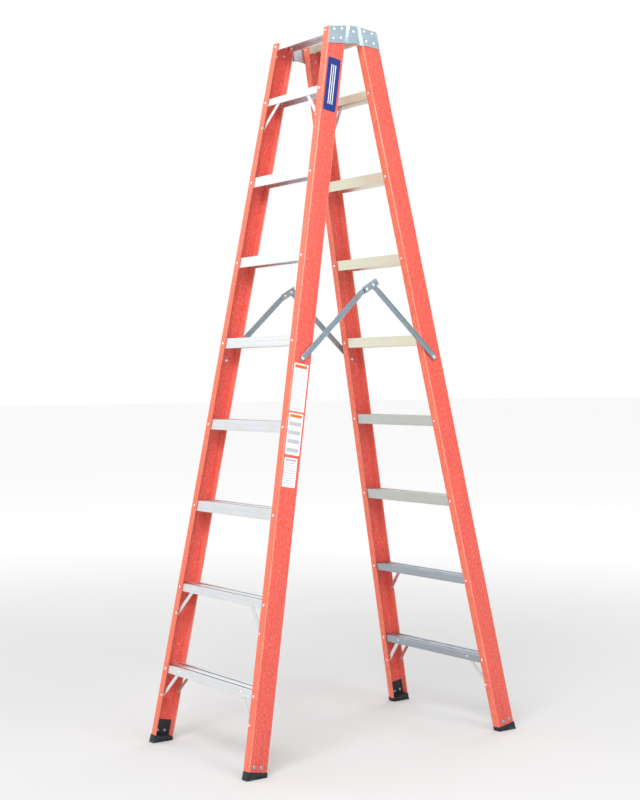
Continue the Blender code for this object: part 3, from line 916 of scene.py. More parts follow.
@dataclass
class Foot:
    """Moulded rubber foot, cut level with the floor, with an upright plate inside the rail."""

    bench: Bench
    end: End
    side: int
    proud: float = 0.001
    toe: float = 0.003
    round_corner: float = 0.004
    sole_edge: float = 0.0018
    rim: float = 0.0012
    tongue_height: float = 0.055
    tongue_thick: float = 0.004
    tongue_corner: float = 0.004
    tongue_edge: float = 0.0006
    corner_steps: int = 5
    rim_share: float = 0.05         # of the way down to the floor, as the next two are
    ribs_from: float = 0.45
    ribs_span: float = 0.4
    ribs: int = 4
    rib_depth: float = 0.0007
    rib_cuts: tuple[float, ...] = (0.3, 0.6, 0.9)       # shares of a rib's pitch
    sole_round: Point = (0.4, 0.35)                     # shares of the sole's edge

    def outline(self, inset: float, toe: float) -> list[Point]:
        """Rounded rectangle round the rail's end, drawn in by an inset and out at the toe.

        Args:
            inset: how far it is drawn in.
            toe: how far its near edge is drawn out.

        Returns:
            The closed outline.
        """
        layout = self.bench.layout
        left = -layout.rail_flange - self.proud + inset
        right = self.proud - inset
        near = -self.proud + inset - toe
        far = layout.rail_depth + self.proud - inset
        turn = self.round_corner
        steps = self.corner_steps
        return (arc((left + turn, near + turn), turn, 180, 270, steps)
                + arc((right - turn, near + turn), turn, 270, 360, steps)
                + arc((right - turn, far - turn), turn, 0, 90, steps)
                + arc((left + turn, far - turn), turn, 90, 180, steps))

    def rings(self) -> list[list[Vector]]:
        """Rings of the block from its rim down to the sole, with grip ribs near the floor.

        Returns:
            The rings.
        """
        layout = self.bench.layout
        lean = math.atan(layout.flare)
        top = layout.rail_start - layout.gap

        def ring(inset: float, share: float, lift: float) -> list[Vector]:
            """Ring a share of the way down to the floor, lifted off it.

            Args:
                inset: how far it is drawn in.
                share: share of the way down.
                lift: height above the floor.

            Returns:
                The ring.
            """
            points = []
            for across, depth in self.outline(inset, self.toe * share):
                up = depth * math.tan(layout.slope) + lift
                floor = (up - across * math.sin(lean)) / math.cos(lean)
                points.append(Vector((across, depth, top + (floor - top) * share)))
            return points

        made = [ring(self.rim, 0.0, 0.0), ring(0.0, self.rim_share, 0.0)]
        step = self.ribs_span / self.ribs
        dip, rise, end = self.rib_cuts
        for i in range(self.ribs):
            share = self.ribs_from + self.ribs_span * i / self.ribs
            for cut, inset in ((0.0, 0.0), (dip, self.rib_depth), (rise, self.rib_depth),
                               (end, 0.0)):
                made.append(ring(inset, share + cut * step, 0.0))
        draw, lift = self.sole_round
        return made + [ring(0.0, 1.0, self.sole_edge),
                       ring(self.sole_edge * draw, 1.0, self.sole_edge * lift),
                       ring(self.sole_edge, 1.0, 0.0)]

    def tongue(self, shape: bmesh.types.BMesh) -> None:
        """Add the upright plate, its upper corners rounded.

        Args:
            shape: the foot's bmesh.
        """
        layout = self.bench.layout
        face = -layout.rail_wall - layout.gap
        edge = layout.rail_corner + layout.gap
        low = layout.rail_start - self.proud
        high = layout.rail_start + self.tongue_height
        turn = self.tongue_corner
        far = layout.rail_depth - edge
        outline = [(edge, low), (far, low)]
        outline += arc((far - turn, high - turn), turn, 0, 90, self.corner_steps)
        outline += arc((edge + turn, high - turn), turn, 90, 180, self.corner_steps)
        centre = Vector((layout.rail_depth / 2, (low + high) / 2))
        soft = self.tongue_edge

        def ring(inset: float, across: float) -> list[Vector]:
            """The plate's outline drawn in by an inset, at a distance across.

            Args:
                inset: how far it is drawn in.
                across: distance from the rail's outer face.

            Returns:
                The ring.
            """
            points = []
            for depth, up in outline:
                toward = centre - Vector((depth, up))
                pull = toward.normalized() * inset
                points.append(Vector((across, depth + pull.x, up + pull.y)))
            return points

        back = face - self.tongue_thick
        loft(shape, [ring(0.0, face), ring(0.0, back + soft), ring(soft, back)])

    def build(self) -> None:
        """Block and plate as one moulding."""
        layout = self.bench.layout
        shape = bmesh.new()
        loft(shape, self.rings())
        self.tongue(shape)
        label = self.end.label(self.side)
        mesh = finish_mesh(shape, label + "_foot_moulding", self.side < 0)
        self.bench.add(label + "_foot_moulding", mesh, layout.rail_matrix(self.end, self.side),
                       self.end.body, "foot_rubber", [label + "_foot"])


# Treads and braces

@dataclass
class Tread:
    """Extruded aluminium tread: three gripping bands on top and a bead along each face."""

    bench: Bench
    end: End
    number: int
    look: bpy.types.Material
    shallow: tuple[int, ...] = (1, 2, 8, 9)
    shallow_face: float = 0.027
    shallow_drop: float = 0.0125
    deep_face: float = 0.037
    deep_drop: float = 0.018
    wall: float = 0.0025
    end_gap: float = 0.003
    edge_band: float = 0.013
    groove: float = 0.007
    groove_depth: float = 0.0012
    tooth_pitch: float = 0.0021
    tooth_depth: float = 0.00045
    tooth_crest: Point = (0.12, 0.62)       # shares of the pitch
    tooth_root: Point = (0.76, 0.98)
    bead: float = 0.0042
    face_inset: float = 0.0006
    face_blend: float = 0.00042
    corner: float = 0.0012
    corner_steps: int = 4

    def band(self, start: float, end: float, top: float) -> list[Point]:
        """Top of one gripping band, cut with fine teeth.

        Args:
            start: depth where it starts.
            end: depth where it ends.
            top: height of the teeth.

        Returns:
            Points along the band.
        """
        count = max(1, round((end - start) / self.tooth_pitch))
        pitch = (end - start) / count
        points = []
        for i in range(count):
            at = start + i * pitch
            points += [(at + share * pitch, top) for share in self.tooth_crest]
            if i < count - 1:
                points += [(at + share * pitch, top - self.tooth_depth)
                           for share in self.tooth_root]
        return points

    def channel(self, start: float, top: float) -> list[Point]:
        """One groove between two bands.

        Args:
            start: depth where it starts.
            top: height of the teeth.

        Returns:
            Points along the groove.
        """
        lip = self.corner / 4
        floor = top - self.groove_depth
        end = start + self.groove
        return [(start, top - lip), (start + lip, floor), (end - lip, floor), (end, top - lip)]

    def face(self, high: float, low: float) -> list[Point]:
        """A face from its upper bead to the lower one, as (inset, height).

        Args:
            high: height of its upper edge.
            low: height of its lower edge.

        Returns:
            The points.
        """
        inset = self.face_inset
        soft = self.face_blend
        return [(0.0, high - self.bead), (inset, high - self.bead - soft),
                (inset, low + self.bead + soft), (0.0, low + self.bead)]

    def outline(self, face: float, drop: float) -> list[Point]:
        """Section in depth and height up the slope from the rivets, its faces on the flanges.

        Args:
            face: height of the faces.
            drop: level top down to the rivets.

        Returns:
            The closed outline.
        """
        layout = self.bench.layout
        near = layout.rail_wall + layout.gap
        far = layout.rail_depth - near
        top = drop / math.cos(layout.slope)
        low = top - face / math.cos(layout.slope)
        turn = self.corner
        run = self.wall + self.face_inset
        first = near + self.edge_band
        last = far - self.edge_band
        points = arc((near + turn, top - turn), turn, 180, 90, self.corner_steps)
        points += self.band(near + turn, first, top)
        points += self.channel(first, top)
        points += self.band(first + self.groove, last - self.groove, top)
        points += self.channel(last - self.groove, top)
        points += self.band(last, far - turn, top)
        points += arc((far - turn, top - turn), turn, 90, 0, self.corner_steps)
        points += [(far - inset, z) for inset, z in self.face(top, low)]
        bead = run / 2
        points += arc((far - bead, low + bead), bead, 0, -180, 2 * self.corner_steps)
        under = top - self.groove_depth - self.wall
        points += [(far - run, under), (near + run, under)]
        points += arc((near + bead, low + bead), bead, 0, -180, 2 * self.corner_steps)
        points += [(near + inset, z) for inset, z in reversed(self.face(top, low))]
        return [(depth, up + depth * math.tan(layout.slope)) for depth, up in points]

    def build(self) -> None:
        """Tread between the webs of the two rails."""
        layout = self.bench.layout
        shallow = self.number in self.shallow
        face = self.shallow_face if shallow else self.deep_face
        drop = self.shallow_drop if shallow else self.deep_drop
        up = layout.rivet_up(self.number)
        highest = up + drop / math.cos(layout.slope) + layout.inner_rise()
        half = layout.rail_face(highest) - layout.rail_wall - self.end_gap
        outline = self.outline(face, drop)
        shape = bmesh.new()
        loft(shape, [[Vector((x, y, z)) for y, z in outline] for x in (-half, half)])
        node = f"{self.end.value}_tread_{self.number}"
        place = layout.frame_matrix(self.end) @ Matrix.Translation((0, 0, up))
        self.bench.add(node + "_extrusion", finish_mesh(shape, node + "_extrusion"), place,
                       self.end.body, "tread_aluminium", [node], self.look)


@dataclass(frozen=True)
class Station:
    """A cut through a pressed strip."""

    place: Vector           # in the strip's plane
    heading: float          # radians
    half_width: float
    lip: float              # height of its turned edges above its back
    lift: float = 0.0       # of its back
    bead: float = 0.0       # height of the stiffening bead


@dataclass(frozen=True)
class PressedStrip:
    """A metal strip with round ends, its edges turned up and a bead pressed along it."""

    width: float
    thick: float
    edge: float = 0.0004
    bead_share: float = 0.36
    bead_steps: int = 6
    end_cut: float = 12.0           # degrees round an end from its tip to the first cut

    def section(self, station: Station) -> list[Point]:
        """Section (across, out) of the strip at a station.

        Args:
            station: the cut.

        Returns:
            The closed section.
        """
        half = station.half_width
        edge = self.edge * half / (self.width / 2)
        wall = self.thick * half / (self.width / 2)
        lip = max(station.lip, self.thick)
        right = [(half - edge, 0.0), (half, edge), (half, lip - edge), (half - edge, lip),
                 (half - wall + edge, lip), (half - wall, max(lip - edge, self.thick)),
                 (half - wall, self.thick)]
        middle = []
        for i in range(self.bead_steps + 1):
            share = 1 - 2 * i / self.bead_steps
            rise = station.bead * math.cos(share * math.pi / 2) ** 2
            middle.append((share * self.bead_share * half, self.thick + rise))
        left = [(-across, out) for across, out in reversed(right)]
        return right + middle + left

    def ring(self, station: Station) -> list[Vector]:
        """A station's section in the strip's plane (Y, Z), its thickness along X.

        Args:
            station: the cut.

        Returns:
            The ring.
        """
        aside = Vector((0, -math.sin(station.heading), math.cos(station.heading)))
        return [Vector((out + station.lift, 0, 0)) + station.place + aside * across
                for across, out in self.section(station)]

    def round_end(self, at: Vector, heading: float, first: bool, lip: float,
                  steps: int = 7) -> list[Station]:
        """Stations round an end, about its hole.

        Args:
            at: centre of the hole.
            heading: the strip's heading in radians.
            first: True at the strip's first end.
            lip: height of the turned edges there.
            steps: number of cuts.

        Returns:
            The stations, in order along the strip.
        """
        along = Vector((0, math.cos(heading), math.sin(heading)))
        radius = self.width / 2
        turn = -1 if first else 1
        made = []
        for i in range(steps):
            angle = math.radians(self.end_cut + (90 - self.end_cut) * i / (steps - 1))
            place = at + along * (turn * radius * math.cos(angle))
            made.append(Station(place, heading, radius * math.sin(angle), lip))
        return made if first else list(reversed(made))

    def skin(self, stations: Sequence[Station]) -> bmesh.types.BMesh:
        """Skin the strip through its stations.

        Args:
            stations: its cuts, from end to end.

        Returns:
            The strip.
        """
        shape = bmesh.new()
        loft(shape, [self.ring(station) for station in stations])
        return shape


@dataclass
class Brace:
    """A pressed strip from a rail's flange up to a tread's face."""

    bench: Bench
    end: End
    side: int
    number: int
    inner: bool
    drop: float = 0.0958
    reach: float = 0.090
    strip: PressedStrip = PressedStrip(0.014, 0.002, bead_share=0.4)
    tread_wall: float = Tread.wall
    lip: float = 0.0030
    bead: float = 0.0007
    fade: float = 0.006

    @property
    def depth(self) -> float:
        """Depth of its outer face: past the flange and the tread's wall.

        Returns:
            The depth.
        """
        layout = self.bench.layout
        depth = layout.rail_wall + self.tread_wall + 2 * layout.gap
        return layout.rail_depth - depth if self.inner else depth

    @property
    def up(self) -> float:
        """Height up the slope of its upper rivet."""
        layout = self.bench.layout
        return layout.rivet_up(self.number) + (layout.inner_rise() if self.inner else 0.0)

    def across(self) -> float:
        """Distance from the middle to its rivet in the rail."""
        layout = self.bench.layout
        return layout.rail_face(self.up) - layout.rivet_inset

    def build(self) -> None:
        """Strip from its rivet in the rail to its rivet in the tread."""
        length = math.hypot(self.drop, self.reach)
        heading = math.atan2(self.drop, -self.reach)
        along = Vector((0, math.cos(heading), math.sin(heading)))
        radius = self.strip.width / 2
        flat = self.strip.thick
        stations = self.strip.round_end(Vector((0, 0, 0)), heading, True, flat)
        for at, lip, bead in ((radius, flat, 0.0), (radius + self.fade, self.lip, self.bead),
                              (length - radius - self.fade, self.lip, self.bead),
                              (length - radius, flat, 0.0)):
            stations.append(Station(along * at, heading, radius, lip, 0.0, bead))
        stations += self.strip.round_end(along * length, heading, False, flat)
        shape = self.strip.skin(stations)
        outward = -1 if self.inner else 1
        shape.transform(Matrix(((0, 1, 0, 0), (outward, 0, 0, 0), (0, 0, 1, 0), (0, 0, 0, 1))))
        label = self.end.label(self.side)
        kind = "inner_brace" if self.inner else "brace"
        node = f"{label}_{kind}_{self.number}"
        mesh = finish_mesh(shape, node + "_strip", self.side < 0)
        place = Matrix.Translation((self.side * self.across(), self.depth, self.up - self.drop))
        self.bench.add(node + "_strip", mesh, self.bench.layout.frame_matrix(self.end) @ place,
                       self.end.body, "brace_aluminium", [node])


# Fasteners

@dataclass(frozen=True)
class Rivet:
    """A set rivet: a domed head outside, a shank and a tail inside."""

    head: float
    head_height: float
    shank: float
    tail_radius: float
    tail_height: float
    rim: float = 0.0004

    def profile(self, grip: float, collar: float = 0.0, collar_from: float = 0.0,
                collar_to: float = 0.0) -> list[Point]:
        """Profile of the rivet.

        Args:
            grip: thickness that it holds, below its head.
            collar: radius of a spacer on the shank, or 0.
            collar_from: depth where the spacer starts.
            collar_to: depth where it ends.

        Returns:
            Points from the head's top to the tail's centre.
        """
        points = dome(self.head, self.head_height, self.rim) + [(self.shank, 0.0)]
        if collar:
            points += [(self.shank, -collar_from), (collar, -collar_from),
                       (collar, -collar_to), (self.shank, -collar_to)]
        return points + [(self.shank, -grip)] + tail(self.tail_radius, self.tail_height, -grip)


@dataclass
class RivetRow:
    """All the rivets of one kind on one side of a frame, as one piece."""

    bench: Bench
    end: End
    side: int
    kind: str

    def __post_init__(self) -> None:
        """Start with no rivets."""
        self.shape = bmesh.new()

    def add(self, profile: Sequence[Point], across: float, depth: float, up: float,
            outward: Vector) -> None:
        """Set one rivet on the +X side, its head on a seat and turned outward."""
        turn = Vector((0, 0, 1)).rotation_difference(outward).to_matrix().to_4x4()
        revolve(self.shape, profile, Matrix.Translation((across, depth, up)) @ turn)

    def build(self, finish: str = "rivet_steel") -> None:
        """Put the whole row on the frame.

        Args:
            finish: name of its finish.
        """
        name = f"{self.end.label(self.side)}_{self.kind}_rivets"
        mesh = finish_mesh(self.shape, name, self.side < 0)
        self.bench.add(name, mesh, self.bench.layout.frame_matrix(self.end), self.end.body,
                       "rivet_steel", material=self.bench.finishes[finish])


OUT_OF_FACE = Vector((0, -1, 0))
OUT_OF_BACK = Vector((0, 1, 0))
OUT_OF_WEB = Vector((1, 0, 0))
OUTWARD = Matrix.Rotation(math.pi / 2, 4, "Y")      # an axis that points away from the middle


@dataclass
class FrameRivets:
    """Rivets and bolts of one rail: treads, braces, hinge plate and foot."""

    bench: Bench
    end: End
    side: int
    braces: Sequence[Brace]
    flange_rivet: Rivet = Rivet(0.0052, 0.0022, 0.0026, 0.0042, 0.0018)
    brace_rivet: Rivet = Rivet(0.0046, 0.0019, 0.0024, 0.0038, 0.0016)
    plate_rivet: Rivet = Rivet(0.0055, 0.0029, 0.0026, 0.0050, 0.0020)
    foot_bolt: Rivet = Rivet(0.0068, 0.0028, 0.0030, 0.0056, 0.0026)
    tread_wall: float = Tread.wall + Tread.face_inset
    plate_thick: float = 0.0025
    plate_near: float = 0.0230
    plate_run: float = 0.0318
    plate_rise: float = 0.0109
    plate_row: float = 0.0347
    plate_top: float = -0.0030
    foot_bolt_up: float = 0.0455
    foot_bolt_depths: Point = (0.0200, 0.0485)
    foot_plate: float = Foot.tongue_thick
    spacer_share: float = 0.8       # spacer's radius by the head's

    def tread_rivets(self) -> None:
        """One rivet through each flange and each tread's face."""
        layout = self.bench.layout
        row = RivetRow(self.bench, self.end, self.side, "tread")
        profile = self.flange_rivet.profile(layout.rail_wall + layout.gap + self.tread_wall)
        for number in range(1, layout.treads + 1):
            up = layout.rivet_up(number)
            inner = up + layout.inner_rise()
            inset = layout.rivet_inset
            row.add(profile, layout.rail_face(up) - inset, 0.0, up, OUT_OF_FACE)
            row.add(profile, layout.rail_face(inner) - inset, layout.rail_depth, inner,
                    OUT_OF_BACK)
        row.build()

    def brace_rivets(self) -> None:
        """Two rivets to each brace: one in the rail's flange and one in the tread's face."""
        layout = self.bench.layout
        row = RivetRow(self.bench, self.end, self.side, "brace")
        wall = layout.rail_wall
        for brace in self.braces:
            outward = OUT_OF_BACK if brace.inner else OUT_OF_FACE
            outer = layout.rail_depth if brace.inner else 0.0
            inward = -1 if brace.inner else 1
            spacer = wall + self.tread_wall
            thick = brace.strip.thick
            low = self.brace_rivet.profile(spacer + thick,
                                           self.brace_rivet.head * self.spacer_share,
                                           wall, spacer)
            high = self.brace_rivet.profile(self.tread_wall - layout.gap + thick)
            seat = outer + inward * (wall + layout.gap + Tread.face_inset)
            row.add(low, brace.across(), outer, brace.up - brace.drop, outward)
            row.add(high, brace.across() - brace.reach, seat, brace.up, outward)
        row.build()

    def plate_rivets(self) -> None:
        """Four rivets through the hinge plate and the rail's web."""
        layout = self.bench.layout
        row = RivetRow(self.bench, self.end, self.side, "plate")
        seat = layout.gap + self.plate_thick
        profile = self.plate_rivet.profile(seat + layout.rail_wall)
        axis_up = layout.axis_in_frame()[1]
        for column in range(2):
            for line in range(2):
                depth = self.plate_near + self.plate_run * column
                up = (axis_up + self.plate_top - self.plate_rise * (1 - column)
                      - self.plate_row * line)
                row.add(profile, layout.rail_face(up) + seat, depth, up, OUT_OF_WEB)
        row.build()

    def foot_bolts(self) -> None:
        """Two domed bolts through the web and the foot's upright plate."""
        layout = self.bench.layout
        row = RivetRow(self.bench, self.end, self.side, "foot")
        profile = self.foot_bolt.profile(layout.rail_wall + layout.gap + self.foot_plate)
        for depth in self.foot_bolt_depths:
            row.add(profile, layout.rail_face(self.foot_bolt_up), depth, self.foot_bolt_up,
                    OUT_OF_WEB)
        row.build("zinc_bolt")

    def build(self) -> None:
        """All the rows."""
        self.tread_rivets()
        self.brace_rivets()
        self.plate_rivets()
        self.foot_bolts()


# Hinge

@dataclass
class HingePlate:
    """Plate on a rail's web with a tongue that steps across the fold axis."""

    bench: Bench
    end: End
    side: int
    thick: float = 0.0025
    inset: float = 0.003
    top_outer: float = 0.0093
    top_inner: float = 0.0195
    bottom_outer: float = -0.051
    bottom_fold: float = -0.0445
    bottom_tip: float = -0.0375
    fold_before: float = 0.004
    fold_past: float = 0.0066
    step: float = 0.003
    clearance: float = 0.0025
    blend: float = 0.0016
    corner: float = 0.0035
    edge: float = 0.0004
    rows: int = 4
    ease: float = 0.06              # share of the step that each fold is eased over
    rail_cuts: tuple[float, ...] = (0.0, 0.008, 0.022, 0.05, 0.30, 0.60, 0.94, 0.97)
    slant_cuts: tuple[float, ...] = (0.0, 0.03, 0.06, 0.5, 0.94, 0.97)
    tongue_cuts: tuple[float, ...] = (0.0, 0.05, 0.12, 0.5, 0.80, 0.91, 0.97, 1.0)

    def columns(self) -> list[tuple[Point, Point]]:
        """Top and bottom of the plate's four columns, level from the fold axis.

        Returns:
            The (top, bottom) pairs, from the rail out to the tongue's tip.
        """
        layout = self.bench.layout

        def column(depth: float, top: float, bottom: float) -> tuple[Point, Point]:
            """A column along the slope, at a depth of the rail.

            Args:
                depth: depth through the rail.
                top: height of its top.
                bottom: height of its bottom.

            Returns:
                Its top and its bottom.
            """
            ends = []
            for height in (top, bottom):
                run = (layout.axis_level + height) * math.tan(layout.slope)
                ends.append((-layout.half_spread + depth / math.cos(layout.slope) + run, height))
            return ends[0], ends[1]

        reach = layout.top_half_gap * math.cos(layout.slope) - self.fold_past
        tip = []
        for height in (self.top_inner, self.bottom_tip):
            clear = (reach - abs(height) * math.sin(layout.slope)) / math.cos(layout.slope)
            tip.append((clear - self.clearance, height))
        depth = layout.rail_depth
        return [column(self.inset, self.top_outer, self.bottom_outer),
                column(depth - self.fold_before, self.top_inner, self.bottom_fold),
                column(depth + self.fold_past, self.top_inner, self.bottom_fold),
                (tip[0], tip[1])]

    def stations(self) -> list[tuple[int, float]]:
        """Where the plate is cut: a column and a share of the way to the next one."""
        cuts = (self.rail_cuts, self.slant_cuts, self.tongue_cuts)
        return [(column, share) for column, shares in enumerate(cuts) for share in shares]

    def step_share(self, column: int, share: float) -> float:
        """Share of the step at a cut, eased at both folds.

        Args:
            column: the column before the cut.
            share: share of the way to the next column.

        Returns:
            0 before the step and 1 past it.
        """
        ease = self.ease
        if column == 0:
            return 0.5 * max(0.0, share - (1 - ease)) ** 2
        if column == 2:
            return 1.0
        if share < ease:
            return share * share / (2 * ease) / (1 - ease)
        if share > 1 - ease:
            return 1 - (1 - share) ** 2 / (2 * ease) / (1 - ease)
        return (share - ease / 2) / (1 - ease)

    def rounding(self, column: int, share: float, length: float) -> float:
        """How much the ends of a cut draw in, so that the plate's corners are round.

        Args:
            column: the column before the cut.
            share: share of the way to the next column.
            length: distance to the next column.

        Returns:
            The length that each end draws in.
        """
        if column == 0:
            away = share * length
        elif column == 2:
            away = (1 - share) * length
        else:
            return 0.0
        if away >= self.corner:
            return 0.0
        return self.corner - math.sqrt(self.corner ** 2 - (self.corner - away) ** 2)

    def ring(self, column: int, share: float) -> list[Vector]:
        """Section of the plate at a cut.

        Args:
            column: the column before the cut.
            share: share of the way to the next column.

        Returns:
            The ring in the frame's axes.
        """
        layout = self.bench.layout
        columns = self.columns()
        (top_a, low_a), (top_b, low_b) = columns[column], columns[column + 1]
        top = Vector(top_a).lerp(Vector(top_b), share)
        low = Vector(low_a).lerp(Vector(low_b), share)
        length = (Vector(top_b) - Vector(top_a)).length
        draw = self.rounding(column, share, length)
        upright = (top - low).normalized()
        top = top - upright * draw
        low = low + upright * draw
        step = self.step if self.end is End.FRONT else -self.step
        stepped = self.step_share(column, share)

        def spot(height_share: float, out: float) -> Vector:
            """A point a share of the way up the cut and out from the plate's inner side.

            Args:
                height_share: share of the way up.
                out: distance out from the inner side.

            Returns:
                The point.
            """
            inward, height = low.lerp(top, height_share)
            depth, up = layout.level_to_frame(inward, height)
            pad = layout.rail_face(up) + layout.gap
            tongue = layout.axis_face() + step
            return Vector((pad + (tongue - pad) * stepped + out, depth, up))

        nip = self.edge / max((top - low).length, self.edge)
        shares = [i / self.rows for i in range(self.rows + 1)]
        inner = [spot(share_up, 0.0) for share_up in shares[1:-1]]
        outer = [spot(share_up, self.thick) for share_up in reversed(shares[1:-1])]
        return ([spot(0.0, self.edge), spot(nip, 0.0)] + inner
                + [spot(1 - nip, 0.0), spot(1.0, self.edge),
                   spot(1.0, self.thick - self.edge), spot(1 - nip, self.thick)]
                + outer + [spot(nip, self.thick), spot(0.0, self.thick - self.edge)])

    def build(self) -> None:
        """The pressed plate."""
        shape = bmesh.new()
        loft(shape, [self.ring(column, share) for column, share in self.stations()])
        label = self.end.label(self.side)
        name = label + "_hinge_pressing"
        mesh = finish_mesh(shape, name, self.side < 0)
        self.bench.add(name, mesh, self.bench.layout.frame_matrix(self.end), self.end.body,
                       "hinge_steel", [label + "_hinge_plate"])


@dataclass
class HingePivot:
    """Rivet on the fold axis, through both tongues, with a spacer between them."""

    bench: Bench
    side: int
    head: float = 0.0058
    head_height: float = 0.0032
    rim: float = 0.0004
    tail_height: float = 0.0016
    facets: int = 28
    washer: float = 0.0068
    washer_thick: float = 0.0006
    shank: float = 0.004
    spacer: float = 0.007
    step: float = HingePlate.step
    thick: float = HingePlate.thick

    def build(self) -> None:
        """Head, washer, shank, spacer and tail in one turned piece."""
        layout = self.bench.layout
        gap = layout.gap
        outer = self.step + self.thick
        inner = -self.step
        profile = dome(self.head, self.head_height - self.washer_thick, self.rim,
                       outer + self.washer_thick)
        profile += [(self.washer, outer + self.washer_thick), (self.washer, outer),
                    (self.shank, outer), (self.shank, self.step - gap),
                    (self.spacer, self.step - gap), (self.spacer, inner + self.thick + gap),
                    (self.shank, inner + self.thick + gap), (self.shank, inner)]
        profile += tail(self.head, self.tail_height, inner)
        shape = bmesh.new()
        revolve(shape, profile, OUTWARD, self.facets)
        name = ("right" if self.side > 0 else "left") + "_hinge_pivot"
        mesh = finish_mesh(shape, name + "_rivet", self.side < 0)
        place = Matrix.Translation((self.side * layout.axis_face(), 0, layout.axis_level))
        self.bench.add(name + "_rivet", mesh, place, End.FRONT.body, "rivet_steel", [name])


# Spreaders

